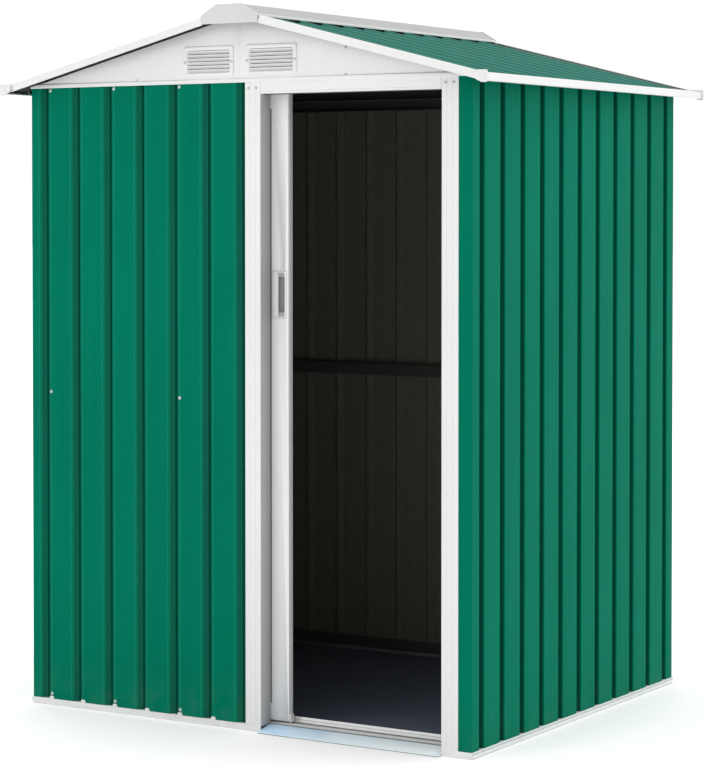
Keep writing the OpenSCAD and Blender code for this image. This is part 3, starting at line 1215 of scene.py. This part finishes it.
@cache
def ribbed_sheet_tree():
    """Repeats one rib's line along a sheet, runs it up and gives it thickness."""
    numbers = (
        "Pitch",
        "First Rib",
        "Left Edge",
        "Right Edge",
        "Height",
        "Thickness",
        "Rib Depth",
        "Rib Floor",
    )
    net, given = new_tree(
        "Ribbed Sheet",
        (
            ("Ribs", "Int"),
            *((label, "Float") for label in numbers),
            ("Ribs Outward", "Bool"),
            ("Paint", "Material"),
        ),
    )
    first, pitch, ribs, left, right, depth, floor = (
        Num(net, given[label])
        for label in (
            "First Rib",
            "Pitch",
            "Ribs",
            "Left Edge",
            "Right Edge",
            "Rib Depth",
            "Rib Floor",
        )
    )
    row = net.add(
        "GeometryNodeMeshLine",
        {"mode": "OFFSET"},
        {
            "Count": ribs,
            "Start Location": net.vector({"X": first}),
            "Offset": net.vector({"X": pitch}),
        },
    ).outputs[0]
    line = net.geometry("InstanceOnPoints", row, {"Instance": given["Geometry"]})
    line = net.geometry("RealizeInstances", line)
    line = net.geometry("MergeByDistance", line, {"Distance": 0.0001})
    # the outer ends of the first and last pitch are drawn out to the sheet's edges
    spot = net.add("GeometryNodeInputPosition").outputs[0]
    parts = net.add("ShaderNodeSeparateXYZ", None, {0: spot})
    x, y = Num(net, parts.outputs[0]), Num(net, parts.outputs[1])
    last = first + pitch * (ribs - 1)
    at_left = x.under(first - pitch * 0.5 + 0.0002)
    at_right = x.over(last + pitch * 0.5 - 0.0002)
    stretched = x * (1 - at_left - at_right) + left * at_left + right * at_right
    held = stretched.most(left).least(right)
    line = net.geometry(
        "SetPosition", line, {"Position": net.vector({"X": held, "Y": y, "Z": 0.0})}
    )
    line = net.geometry("MergeByDistance", line, {"Distance": 0.0001})
    face = net.geometry(
        "ExtrudeMesh",
        line,
        {"Offset": net.vector({"Z": given["Height"]})},
        {"mode": "EDGES"},
    )
    # the paint reads how deep a point lies in its rib and which way it leans,
    # to lay painted shade and highlights on the ribs
    fold = y / depth
    across = (x - first + pitch * 0.5).wrapped(pitch) - pitch * 0.5
    lean = fold * (across * 2 / floor).least(1).most(-1)
    face = net.stored(face, "POINT", "fold", fold)
    face = net.stored(face, "POINT", "lean", lean)
    inward = net.add(
        "GeometryNodeSwitch",
        {"input_type": "GEOMETRY"},
        {
            "Switch": given["Ribs Outward"],
            "False": face,
            "True": net.geometry("FlipFaces", face),
        },
    ).outputs[0]
    inner = net.add(
        "GeometryNodeExtrudeMesh",
        {"mode": "FACES"},
        {0: inward, "Offset Scale": given["Thickness"], "Individual": False},
    )
    backs = net.stored(
        inner.outputs[0], "FACE", "back", 1.0, {"Selection": inner.outputs["Top"]}
    )
    whole = net.add("GeometryNodeJoinGeometry")
    for half in (net.geometry("FlipFaces", inward), backs):
        net.tree.links.new(half, whole.inputs[0])
    whole = net.geometry("MergeByDistance", whole.outputs[0], {"Distance": 0.00005})
    return finished_tree(net, whole, given["Paint"])


@cache
def fixings_tree():
    """Sets a copy of a fixing on every point, turned as the point says."""
    net, given = new_tree("Fixings", (("Fixing", "Object"), ("Paint", "Material")))
    shape = net.add(
        "GeometryNodeObjectInfo",
        {"transform_space": "ORIGINAL"},
        {"Object": given["Fixing"]},
    )
    angles = net.add(
        "GeometryNodeInputNamedAttribute",
        {"data_type": "FLOAT_VECTOR"},
        {"Name": "turn"},
    )
    turn = net.add("FunctionNodeEulerToRotation", None, {"Euler": angles.outputs[0]})
    copies = net.geometry(
        "InstanceOnPoints",
        given["Geometry"],
        {"Instance": shape.outputs["Geometry"], "Rotation": turn.outputs[0]},
    )
    return finished_tree(net, copies, given["Paint"])


def rib_line():
    """One pitch of the sheet's outer line: a rib pressed to +Y between two beads."""
    s = sheet_sizes()
    bead = s.rib_open / 2 + s.bead_gap + s.bead_width / 2
    half = [
        (s.rib_floor / 2, s.rib_depth),
        (s.rib_open / 2, 0.0),
        (bead - s.bead_width / 2, 0.0),
        (bead, s.bead_depth),
        (bead + s.bead_width / 2, 0.0),
        (s.pitch / 2, 0.0),
    ]
    points = [(-x, y) for x, y in reversed(half)] + half
    return eased_line(points, s.bend, 3, 0.0006)


def ribbed_sheet(name, node, span, ribs, height, matrix, body="shed", roof=False):
    """A pressed sheet, made upright facing -Y at the origin and then put in place."""
    s = sheet_sizes()
    paint = roof_paint() if roof else green_paint()
    line = rib_line()
    mesh = bpy.data.meshes.new(name)
    mesh.from_pydata(
        [(p.x, p.y, 0.0) for p in line],
        [(i, i + 1) for i in range(len(line) - 1)],
        [],
    )
    made = grown(
        name,
        mesh,
        ribbed_sheet_tree(),
        {
            "Ribs": len(ribs),
            "Pitch": s.pitch,
            "First Rib": ribs[0],
            "Left Edge": span[0],
            "Right Edge": span[1],
            "Height": height,
            "Thickness": s.thickness,
            "Rib Depth": s.rib_depth,
            "Rib Floor": s.rib_floor,
            "Ribs Outward": roof,
            "Paint": paint,
        },
    )
    made.transform(matrix)
    if matrix.determinant() < 0:
        made.flip_normals()
    return fitted(shown(name, made, 50.0), paint, body, (node,))


# ---------------------------------------------------------------- operators


class SHED_OT_walls(bpy.types.Operator):
    """Press the wall sheets"""

    bl_idname = "shed.walls"
    bl_label = "Wall Sheets"

    def execute(self, context):
        foot = low("back_wall").z
        jamb = high("front_wall_left").x
        rib_reach = sheet_sizes().rib_open / 2 + 0.0085
        ribs = rib_places(2 * WALL.x)
        side_end, side_top = high("right_wall").y, high("right_wall").z
        kept = [x for x in ribs if x + rib_reach < jamb]
        front = (-WALL.x, jamb), kept, WALL.z
        back = (-WALL.x, WALL.x), ribs, WALL.z
        side = (-side_end, side_end), rib_places(2 * WALL.y), side_top
        for name, node, (span, row, top), place, turn in (
            ("front_sheet", "front_wall_left", front, (0, FRONT), 0.0),
            ("back_sheet", "back_wall", back, (0, -FRONT), math.pi),
            ("right_sheet", "right_wall", side, (WALL.x, 0), math.pi / 2),
            ("left_sheet", "left_wall", side, (-WALL.x, 0), -math.pi / 2),
        ):
            matrix = Matrix.Translation((*place, foot))
            matrix = matrix @ Matrix.Rotation(turn, 4, "Z")
            ribbed_sheet(name, node, span, row, top - foot, matrix)
        strip = Piece().copied("front_wall_right").softened(0.0005)
        fitted(
            strip.made("corner_sheet"),
            green_paint(),
            "shed",
            ("front_wall_right",),
        )
        return {"FINISHED"}


class SHED_OT_roof(bpy.types.Operator):
    """Press the two roof sheets"""

    bl_idname = "shed.roof"
    bl_label = "Roof Sheets"

    def execute(self, context):
        edge = high("right_roof_sheet")
        length = (edge.x - RIB_RISE * math.sin(PITCH)) / math.cos(PITCH) - RIDGE_GAP
        for name, side in (("right", 1), ("left", -1)):
            down = Vector((side * math.cos(PITCH), 0, -math.sin(PITCH)))
            out = Vector((side * math.sin(PITCH), 0, math.cos(PITCH)))
            start = Vector((0, 0, PAN_TOP)) + down * RIDGE_GAP
            turn = Matrix(((0, 1, 0), tuple(out), tuple(down))).transposed().to_4x4()
            ribbed_sheet(
                f"{name}_roof",
                f"{name}_roof_sheet",
                (-edge.y, edge.y),
                rib_places(2 * WALL.y),
                length,
                Matrix.Translation(start) @ turn,
                roof=True,
            )
        return {"FINISHED"}


class SHED_OT_ridge(bpy.types.Operator):
    """Fold the ridge cap and its end plates"""

    bl_idname = "shed.ridge"
    bl_label = "Ridge Cap"

    def execute(self, context):
        cap_low, cap_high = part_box("ridge_cap")
        half, foot, rim = cap_high.x, cap_low.z, 0.0065
        flat = half - 0.048
        right_side = [(half, foot), (half, foot + rim), (flat, cap_high.z)]
        left_side = [(-x, z) for x, z in reversed(right_side)]
        line = eased_line(right_side + left_side, 0.0035, 4)
        cap = Piece().fold(
            line, trim_sizes().thickness, along_y, cap_low.y, cap_high.y
        )
        trim(cap, "ridge_cap_fold", "ridge_cap", paint=cap_paint())
        tuck, proud, inset = 0.0005, 0.0012, 0.0003
        hem = [
            (half - tuck, foot - 0.0002),
            (half + proud, foot - 0.0002),
            (half + proud, foot + rim - 0.0006),
            (half - tuck, foot + rim + 0.0004),
        ]
        hems = Piece()
        for place in (along_y, mirrored_x(along_y)):
            hems.fold(
                eased_line(hem, 0.0012, 3),
                0.0007,
                place,
                cap_low.y + inset,
                cap_high.y - inset,
            )
        trim(hems, "ridge_hems")
        plates = Piece().copied("ridge_end_plates").softened(0.0009)
        trim(plates, "ridge_ends", "ridge_end_plates", paint=plate_paint())
        return {"FINISHED"}


class SHED_OT_roof_trims(bpy.types.Operator):
    """Fold the verge and eave trims and their corner caps"""

    bl_idname = "shed.roof_trims"
    bl_label = "Roof Trims"

    def execute(self, context):
        sizes = trim_sizes()
        verge_low, verge_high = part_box("front_verge_trims")
        face = verge_low.y
        rise, drop, flange = 0.014, 0.0065, 0.024
        lip, turn_down = 0.003, 0.0022
        verge = eased_line(
            [
                (face + flange, rise - turn_down),
                (face + flange, rise),
                (face, rise),
                (face, -drop),
                (face + lip, -drop),
            ],
            sizes.fold,
        )
        start = high("ridge_end_plates").x / math.cos(PITCH)
        end = (verge_high.x - rise * math.sin(PITCH)) / math.cos(PITCH)
        for end_of_shed in ("front", "back"):
            piece = Piece()
            for place in (slope, mirrored_x(slope)):
                if end_of_shed == "back":
                    place = mirrored_y(place)
                piece.fold(verge, sizes.thickness, place, start, end)
            trim(piece, f"{end_of_shed}_verges", f"{end_of_shed}_verge_trims")
        eave_low, eave_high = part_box("right_eave_trim")
        out, cover, under = eave_high.x, 0.027, 0.014
        inner = out - cover
        eave = eased_line(
            [
                (out - under, eave_low.z),
                (out, eave_low.z),
                (out, eave_high.z - cover * math.tan(PITCH)),
                (inner, eave_high.z),
                (inner - 0.0005, eave_high.z - 0.0016),
            ],
            sizes.fold,
        )
        for side, place in (("right", along_y), ("left", mirrored_x(along_y))):
            piece = Piece().fold(
                eave, sizes.thickness, place, eave_low.y, eave_high.y
            )
            trim(piece, f"{side}_eave", f"{side}_eave_trim")
        caps = Piece().copied("eave_corner_caps").softened(0.0040, segments=4)
        fitted(
            caps.made("corner_caps", 60.0),
            white_plastic(),
            "shed",
            ("eave_corner_caps",),
        )
        return {"FINISHED"}


class SHED_OT_gables(bpy.types.Operator):
    """Soften the gable plates and roll the lips along their feet"""

    bl_idname = "shed.gables"
    bl_label = "Gables"

    def execute(self, context):
        for name, nodes in (
            ("front_gable", ("front_gable_left", "front_gable_right")),
            ("rear_gable", ("back_gable",)),
        ):
            piece = Piece()
            for node in nodes:
                piece.copied(node)
            trim(piece.softened(trim_sizes().edge), name, *nodes)
        foot, proud, lap = WALL.z, 0.0032, 0.0012
        lip = eased_line(
            [
                (JAMB_FACE, foot + 0.0115),
                (JAMB_FACE - proud, foot + 0.0085),
                (JAMB_FACE - proud, foot - lap),
                (JAMB_FACE + lap, foot - lap),
            ],
            0.0018,
        )
        lips = Piece()
        for place in (along_x, mirrored_y(along_x)):
            lips.fold(lip, 0.0012, place, -WALL.x, WALL.x)
        trim(lips, "gable_lips")
        return {"FINISHED"}


class SHED_OT_vents(bpy.types.Operator):
    """Press the vents' plates and set their slats"""

    bl_idname = "shed.vents"
    bl_label = "Gable Vents"

    def execute(self, context):
        sizes = vent_sizes()
        width, height, field_w, field_h = VENT
        rise, inner_corner = sizes.rise, 0.002
        # share of the way in from the plate's rim to its field, share of its rise
        profile = (
            (0.0, 0.0),
            (0.0, 0.25),
            (0.06, 0.62),
            (0.16, 0.90),
            (0.32, 1.0),
            (0.62, 1.0),
            (0.80, 0.82),
            (0.93, 0.50),
            (1.0, 0.40),
            (1.0, 0.0),
        )
        frames = Piece()
        for middle in vent_places():
            rings = []
            for share, lift in profile:
                half = (
                    (width + (field_w - width) * share) / 2,
                    (height + (field_h - height) * share) / 2,
                )
                corner = sizes.corner + (inner_corner - sizes.corner) * share
                rings.append((middle, half, corner, JAMB_FACE - rise * lift))
            for place in (along_y, mirrored_y(along_y)):
                frames.lofted(rings, place, True)
        trim(frames, "vent_frames", "gable_vents", smooth=50.0)
        step, reach = field_h / sizes.slats, field_w / 2 + 0.0005
        slat = eased_line(
            [
                (step * 0.38, rise * 0.35),
                (0.0, rise * 0.35),
                (-step * 0.40, rise * 0.35 + 0.0040),
            ],
            0.0016,
        )
        shape = Piece().fold(slat, 0.0010, along_x, -reach, reach).made("Slat")
        places = []
        for x, z in vent_places():
            for i in range(sizes.slats):
                at = z + (i - (sizes.slats - 1) / 2) * step
                places += both_ends(x, JAMB_FACE, at)
        slats = fixed_on("vent_slats", places, shape, white_paint())
        fitted(slats, white_paint())
        return {"FINISHED"}


class SHED_OT_doorway(bpy.types.Operator):
    """Fold the jambs, the beam over the doorway, the ramp and the lower track"""

    bl_idname = "shed.doorway"
    bl_label = "Doorway"

    def execute(self, context):
        sizes = trim_sizes()
        jamb_low, jamb_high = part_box("left_door_jamb")
        x0, x1 = jamb_low.x, jamb_high.x
        face, back = jamb_low.y, jamb_high.y
        notch = low("front_top_rail")
        grooves = []
        for at in (0.016, 0.034):
            for off, depth in (
                (-0.0016, 0.0),
                (-0.0008, sizes.groove),
                (0.0008, sizes.groove),
                (0.0016, 0.0),
            ):
                grooves.append((x0 + at + off, face + depth))
        front_line = eased_line(
            [(x0, FRONT), (x0, face), *grooves, (x1, face), (x1, notch.y)], 0.0022
        )
        back_line = eased_line(
            [(x1, notch.y), (x1, back), (x1 - 0.014, back), (x1 - 0.014, back - 0.004)],
            sizes.fold,
        )
        for side, place in (
            ("left", along_z),
            ("right", mirrored_x(along_z, sum(DOORWAY) / 2)),
        ):
            piece = Piece()
            piece.fold(front_line, sizes.thickness, place, jamb_low.z, jamb_high.z)
            piece.fold(back_line, sizes.thickness, place, jamb_low.z, notch.z)
            trim(piece, f"{side}_jamb", f"{side}_door_jamb")
        beam_low, beam_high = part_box("door_head_beam")
        foot, crease = beam_low.z, 0.0010
        line = eased_line(
            [
                (face, beam_high.z),
                (face, foot + 0.0090),
                (face + crease, foot + 0.0082),
                (face + crease, foot + 0.0070),
                (face, foot + 0.0062),
                (face, foot),
                (beam_high.y, foot),
                (beam_high.y, foot + 0.005),
            ],
            sizes.fold,
        )
        beam = Piece().fold(line, sizes.thickness, along_x, beam_low.x, beam_high.x)
        trim(beam, "head_beam", "door_head_beam")
        ramp = Piece().copied("threshold_ramp").softened(0.0008).made("ramp")
        fitted(ramp, ramp_skin(), "shed", ("threshold_ramp",))
        track = Piece().copied("lower_door_track").softened(0.0006)
        trim(track, "lower_track", "lower_door_track", paint=track_paint())
        return {"FINISHED"}


class SHED_OT_base(bpy.types.Operator):
    """Soften the base rails and finish the floor"""

    bl_idname = "shed.base"
    bl_label = "Base"

    def execute(self, context):
        for side in ("front", "back", "left", "right"):
            node = f"{side}_base_rail"
            rail = Piece().copied(node).softened(trim_sizes().edge)
            trim(rail, f"{side}_foot_rail", node)
        refinished(dark_panel(), "floor_panel")
        return {"FINISHED"}


class SHED_OT_inner_frame(bpy.types.Operator):
    """Finish the frame behind the sheets"""

    bl_idname = "shed.inner_frame"
    bl_label = "Inner Frame"

    def execute(self, context):
        refinished(
            inner_paint(),
            "front_top_rail",
            "back_top_rail",
            "side_top_rails",
            "front_mid_rail",
            "back_mid_rail",
            "side_mid_rails",
            "ridge_beam",
        )
        refinished(zinc_skin(), "upper_door_track")
        return {"FINISHED"}


class SHED_OT_door(bpy.types.Operator):
    """Press the door's panel and round its stiles and rails"""

    bl_idname = "shed.door"
    bl_label = "Door"

    def execute(self, context):
        panel_low, panel_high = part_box("door_panel")
        middle = (panel_low.x + panel_high.x) / 2
        half = (panel_high.x - panel_low.x) / 2
        ribbed_sheet(
            "door_sheet",
            "door_panel",
            (-half, half),
            rib_places(2 * half),
            panel_high.z - panel_low.z,
            Matrix.Translation((middle, panel_low.y, panel_low.z)),
            "door",
        )
        stile_low, stile_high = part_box("door_front_stile")
        lead, trail, face = stile_high.x, low("door_rear_stile").x, stile_low.y
        hair = 1e-4

        def rounded(e):
            a, b = (v.co for v in e.verts)
            upright = abs(a.z - b.z) > 1.0
            outer = min(abs(a.x - lead), abs(a.x - trail)) < hair
            return upright and outer and abs(a.y - face) < hair

        def behind(e):
            return abs(e.verts[0].co.y - face) > 0.006

        for name in ("front_stile", "rear_stile"):
            stile = Piece().copied(f"door_{name}")
            stile.softened(0.0045, rounded, 5).softened(0.0008, behind)
            thing = stile.made(name, 40.0)
            fitted(thing, door_paint(), "door", (f"door_{name}",))
        inner, skin, width = stile_low.x, 0.0005, 0.015
        lip = [
            (inner - width, face + 0.0028),
            (inner - width, face + skin),
            (inner + skin, face + skin),
        ]
        strip = Piece().fold(
            eased_line(lip, 0.001, 2),
            0.001,
            along_z,
            stile_low.z + skin,
            stile_high.z - skin,
        )
        trim(strip, "stile_lip", paint=return_paint(), body="door")
        for end in ("top", "bottom"):
            node = f"door_{end}_rail"
            rail = Piece().copied(node).softened(trim_sizes().edge)
            trim(rail, f"{end}_cross_rail", node, paint=door_paint(), body="door")
        return {"FINISHED"}


class SHED_OT_handle(bpy.types.Operator):
    """Mould the recessed pull"""

    bl_idname = "shed.handle"
    bl_label = "Handle"

    def execute(self, context):
        a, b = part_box("door_handle")
        middle = ((a.x + b.x) / 2, (a.z + b.z) / 2)
        half = ((b.x - a.x) / 2, (b.z - a.z) / 2)
        slot_w, slot_h, edge, pocket = 0.020, 0.096, 0.006, 0.009
        hole = (b.x - edge - slot_w / 2, middle[1])
        seat, floor = b.y, b.y + pocket

        def plate(inset, radius, depth):
            return (middle, (half[0] - inset, half[1] - inset), radius, depth)

        def cup(inset, radius, depth):
            size = (slot_w / 2 - inset, slot_h / 2 - inset)
            return (hole, size, radius, depth)

        shell = Piece().lofted(
            [
                plate(0.0, 0.005, seat),
                plate(0.0, 0.005, seat - 0.0016),
                plate(0.0004, 0.005, seat - 0.0023),
                plate(0.0012, 0.0045, seat - 0.0029),
                plate(0.0022, 0.004, seat - 0.0030),
                cup(-0.0016, 0.0065, seat - 0.0030),
                cup(-0.0006, 0.0060, seat - 0.0026),
                cup(0.0, 0.0055, seat - 0.0016),
                cup(0.0, 0.0055, seat),
            ],
            along_y,
            True,
        )
        bowl = Piece().lofted(
            [
                cup(0.0008, 0.004, floor - 0.0002),
                cup(0.0002, 0.005, floor - 0.0010),
                cup(0.0001, 0.0054, seat - 0.0020),
                cup(0.0008, 0.0050, seat - 0.0022),
                cup(0.0012, 0.0048, seat + 0.002),
                cup(0.0024, 0.004, floor - 0.0040),
                cup(0.0042, 0.003, floor - 0.0020),
            ],
            along_y,
        )
        for piece, name, plastic, nodes in (
            (bowl, "pull_cup", cup_plastic(), ()),
            (shell, "pull", pull_plastic(), ("door_handle",)),
        ):
            thing = piece.made(name, 50.0)
            fitted(thing, plastic, "door", nodes)
        return {"FINISHED"}


class SHED_OT_door_gear(bpy.types.Operator):
    """Finish the hangers, rollers and guides"""

    bl_idname = "shed.door_gear"
    bl_label = "Door Gear"

    def execute(self, context):
        refinished(zinc_skin(), "door_hangers")
        refinished(moulded_plastic(), "door_rollers", "door_guides")
        return {"FINISHED"}


def screw_head():
    """A domed head with a cross recess on a flat washer, on the origin along +Z."""
    s = screw_sizes()
    washer, head, rise = s.washer / 2, s.head / 2, s.height
    brim = rise * 0.28
    rings = [
        (washer, -0.0002),
        (washer, brim * 0.6),
        (washer - 0.0006, brim),
        (head, brim),
        (head * 0.96, brim + (rise - brim) * 0.45),
        (head * 0.74, brim + (rise - brim) * 0.86),
        (head * 0.46, rise),
        (head * 0.20, rise),
    ]
    around = 16
    last = len(rings) - 1
    bm = bmesh.new()
    loops = []
    for k, (radius, z) in enumerate(rings):
        loop = []
        for i in range(around):
            angle = 2 * math.pi * i / around
            in_cross = i % 4 == 0
            drop = 0.0
            if k == last - 1 and in_cross:
                drop = rise * 0.42
            if k == last:
                drop = rise * (0.5 if in_cross else 0.22)
            x, y = radius * math.cos(angle), radius * math.sin(angle)
            loop.append(bm.verts.new((x, y, z - drop)))
        loops.append(loop)
    tip = bm.verts.new((0, 0, rise * 0.45))
    for i in range(around):
        j = (i + 1) % around
        for lower, upper in zip(loops, loops[1:]):
            bm.faces.new((lower[i], lower[j], upper[j], upper[i]))
        bm.faces.new((loops[-1][i], loops[-1][j], tip))
    bm.faces.new(list(reversed(loops[0])))
    bmesh.ops.recalc_face_normals(bm, faces=bm.faces)
    mesh = bpy.data.meshes.new("Screw Head")
    bm.to_mesh(mesh)
    bm.free()
    return linked("Screw Head", mesh)


AHEAD = (math.pi / 2, 0.0, 0.0)
BEHIND = (math.pi / 2, 0.0, math.pi)
GABLE_SCREWS = ((-0.343, 1.769), (0.337, 1.839), (0.337, 1.768))


def both_ends(x, y, z):
    """The same place on the front and on the back of the shed."""
    return [((x, y, z), AHEAD), ((x, -y, z), BEHIND)]


def screw_places():
    """Where each screw sits, and its turn."""
    beside, edge = 0.0222, 0.020
    foot, middle, top = 0.033, 0.895, WALL.z - 0.008
    left, right = low("left_door_jamb").x, high("right_door_jamb").x
    places = []
    for i, x in enumerate(rib_places(2 * WALL.x)):
        spots = [foot, top] if i % 2 == 0 else []
        if i % 4 == 0:
            spots.append(middle)
        for z in spots:
            if x + beside < left:
                places.append(((x + beside, FRONT, z), AHEAD))
            if x + beside < WALL.x - edge:
                places.append(((-x - beside, -FRONT, z), BEHIND))
    for x, z in GABLE_SCREWS:
        places += both_ends(x, JAMB_FACE, z)
    for x in (left + 0.012, DOORWAY[0] - 0.014, DOORWAY[1] + 0.012, right - 0.014):
        places.append(((x, JAMB_FACE, WALL.z - 0.017), AHEAD))
    vent_face, out = JAMB_FACE - vent_sizes().rise, VENT[0] / 2 - 0.0065
    for x, z in vent_places():
        for side in (-1, 1):
            places += both_ends(x + side * out, vent_face, z - 0.002)
    return places


def tab_places():
    """Where the base rails' small tabs stand, beside the front and back walls' ribs."""
    beside, clear = 0.0215, 0.04
    places = []
    for x in rib_places(2 * WALL.x):
        if x + clear < low("left_door_jamb").x:
            places.append(((x + beside, FRONT, RAIL_TOP), AHEAD))
        places.append(((-x - beside, -FRONT, RAIL_TOP), BEHIND))
    return places


def tab_shape():
    """A short tab with a rounded top, standing on the origin."""
    half, height, thick, buried = 0.0082, 0.0078, 0.0012, 0.002
    outline = [
        (-half, -buried),
        (half, -buried),
        (half * 0.80, height),
        (-half * 0.80, height),
        (-half, -buried),
    ]
    outline = eased_line(outline, 0.003, 3)[:-1]
    return Piece().prism(outline, along_z, -0.0005, thick).made("Tab")


def fixed_on(name, places, shape, material):
    """Copies of a fixing at those places, as one mesh."""
    mesh = bpy.data.meshes.new("places")
    mesh.from_pydata([place for place, turn in places], [], [])
    turns = mesh.attributes.new("turn", "FLOAT_VECTOR", "POINT")
    for item, (place, turn) in zip(turns.data, places):
        item.vector = turn
    made = grown(name, mesh, fixings_tree(), {"Fixing": shape, "Paint": material})
    bpy.data.objects.remove(shape)
    return shown(name, made, 40.0)


class SHED_OT_screws(bpy.types.Operator):
    """Drive the screws that hold the sheets and trims, and bend up the rails' tabs"""

    bl_idname = "shed.screws"
    bl_label = "Screws"

    def execute(self, context):
        screws = fixed_on("shed_screws", screw_places(), screw_head(), screw_steel())
        fitted(screws, screw_steel())
        tabs = fixed_on("rail_tabs", tab_places(), tab_shape(), white_paint())
        fitted(tabs, white_paint())
        return {"FINISHED"}


def pointed(name, data, place, way):
    """A lamp or camera that stands at a place and looks that way."""
    thing = linked(name, data)
    thing.location = place
    thing.rotation_mode = "QUATERNION"
    thing.rotation_quaternion = way.to_track_quat("-Z", "Y")
    return thing


def studio_world(strength):
    """Even light from all round, a little stronger from above and behind."""
    world = bpy.data.worlds.new("Studio")
    world.use_nodes = True
    net = Net(world.node_tree)
    way = net.add("ShaderNodeTexCoord").outputs["Generated"]
    parts = net.add("ShaderNodeSeparateXYZ", None, {0: way})
    x, y, z = (Num(net, parts.outputs[i]) for i in range(3))
    front, back = (0 - y).eased(-0.1, 0.9), y.eased(-0.1, 0.9)
    right, up = x.eased(0.0, 0.9), z.eased(0.25, 1.0)
    glow = 0.8 + back * 0.25 + right * back * 0.9 - right * front * 0.75 + up * 0.7
    sky = net.add(
        "ShaderNodeBackground", None, {"Color": PURE_WHITE, "Strength": glow * strength}
    )
    net.add("ShaderNodeOutputWorld", None, {"Surface": sky.outputs[0]})
    return world


class SHED_OT_stage(bpy.types.Operator):
    """Lay the studio floor and set the lights and the camera"""

    bl_idname = "shed.stage"
    bl_label = "Studio"

    def execute(self, context):
        scene = context.scene
        s = stage_sizes()
        half = s.floor_size / 2
        mesh = bpy.data.meshes.new("studio_floor")
        mesh.from_pydata(
            [(-half, -half, 0), (half, -half, 0), (half, half, 0), (-half, half, 0)],
            [],
            [(0, 1, 2, 3)],
        )
        c = Coating("Studio Floor")
        paper = c.finish(
            {
                "Base Color": c.blend(c.cloud(3.0), *PAPER_TONES),
                "Roughness": 0.9,
                "Emission Color": PURE_WHITE,
                "Emission Strength": 0.14,
            }
        )
        mesh.materials.append(paper)
        linked("studio_floor", mesh)
        scene.world = studio_world(s.sky)
        for name, place, power in (
            ("Key", (-3.0, -8.0, 4.0), s.key * 1.3),
            ("Side", (8.0, 4.0, 3.0), s.key * 0.5),
        ):
            data = bpy.data.lights.new(name, "AREA")
            data.size, data.energy = 3.5, power
            pointed(name, data, place, Vector((0, 0, 0.9)) - Vector(place))
        data = bpy.data.cameras.new("Camera")
        data.lens, data.sensor_width, data.shift_y = s.lens, 36.0, s.shift
        data.sensor_fit = "AUTO"
        data.clip_start, data.clip_end = 0.1, 300.0
        level = math.cos(s.pitch)
        sight = (
            -math.sin(s.azimuth) * level,
            math.cos(s.azimuth) * level,
            -math.sin(s.pitch),
        )
        scene.camera = pointed("Camera", data, s.place, Vector(sight))
        scene.view_settings.view_transform = "Standard"
        return {"FINISHED"}


OPERATORS = (
    SHED_OT_base,
    SHED_OT_inner_frame,
    SHED_OT_walls,
    SHED_OT_doorway,
    SHED_OT_gables,
    SHED_OT_vents,
    SHED_OT_roof,
    SHED_OT_ridge,
    SHED_OT_roof_trims,
    SHED_OT_door,
    SHED_OT_handle,
    SHED_OT_door_gear,
    SHED_OT_screws,
    SHED_OT_stage,
)

GROUPS = {
    "shed_sheets": ShedSheetSizes,
    "shed_trims": ShedTrimSizes,
    "shed_screws": ShedScrewSizes,
    "shed_vents": ShedVentSizes,
    "shed_finishes": ShedFinishes,
    "shed_stage": ShedStageSizes,
}


class SHED_PT_sidebar(bpy.types.Panel):
    """Lists the shed's pieces and the sizes that they are made to"""

    bl_idname = "SHED_PT_sidebar"
    bl_label = "Shed"
    bl_space_type = "VIEW_3D"
    bl_region_type = "UI"
    bl_category = "Shed"

    def draw(self, context):
        for operator in OPERATORS:
            self.layout.operator(operator.bl_idname)
        for key, group in GROUPS.items():
            box = self.layout.box()
            for name in group.__annotations__:
                box.prop(getattr(context.scene, key), name)


def register():
    for group in GROUPS.values():
        bpy.utils.register_class(group)
    for key, group in GROUPS.items():
        setattr(bpy.types.Scene, key, PointerProperty(type=group))
    for operator in OPERATORS:
        bpy.utils.register_class(operator)
    bpy.utils.register_class(SHED_PT_sidebar)


def unregister():
    bpy.utils.unregister_class(SHED_PT_sidebar)
    for operator in reversed(OPERATORS):
        bpy.utils.unregister_class(operator)
    for key, group in GROUPS.items():
        delattr(bpy.types.Scene, key)
        bpy.utils.unregister_class(group)


def main():
    register()
    for operator in OPERATORS:
        group, name = operator.bl_idname.split(".")
        getattr(getattr(bpy.ops, group), name)()


if __name__ == "__main__":
    main()
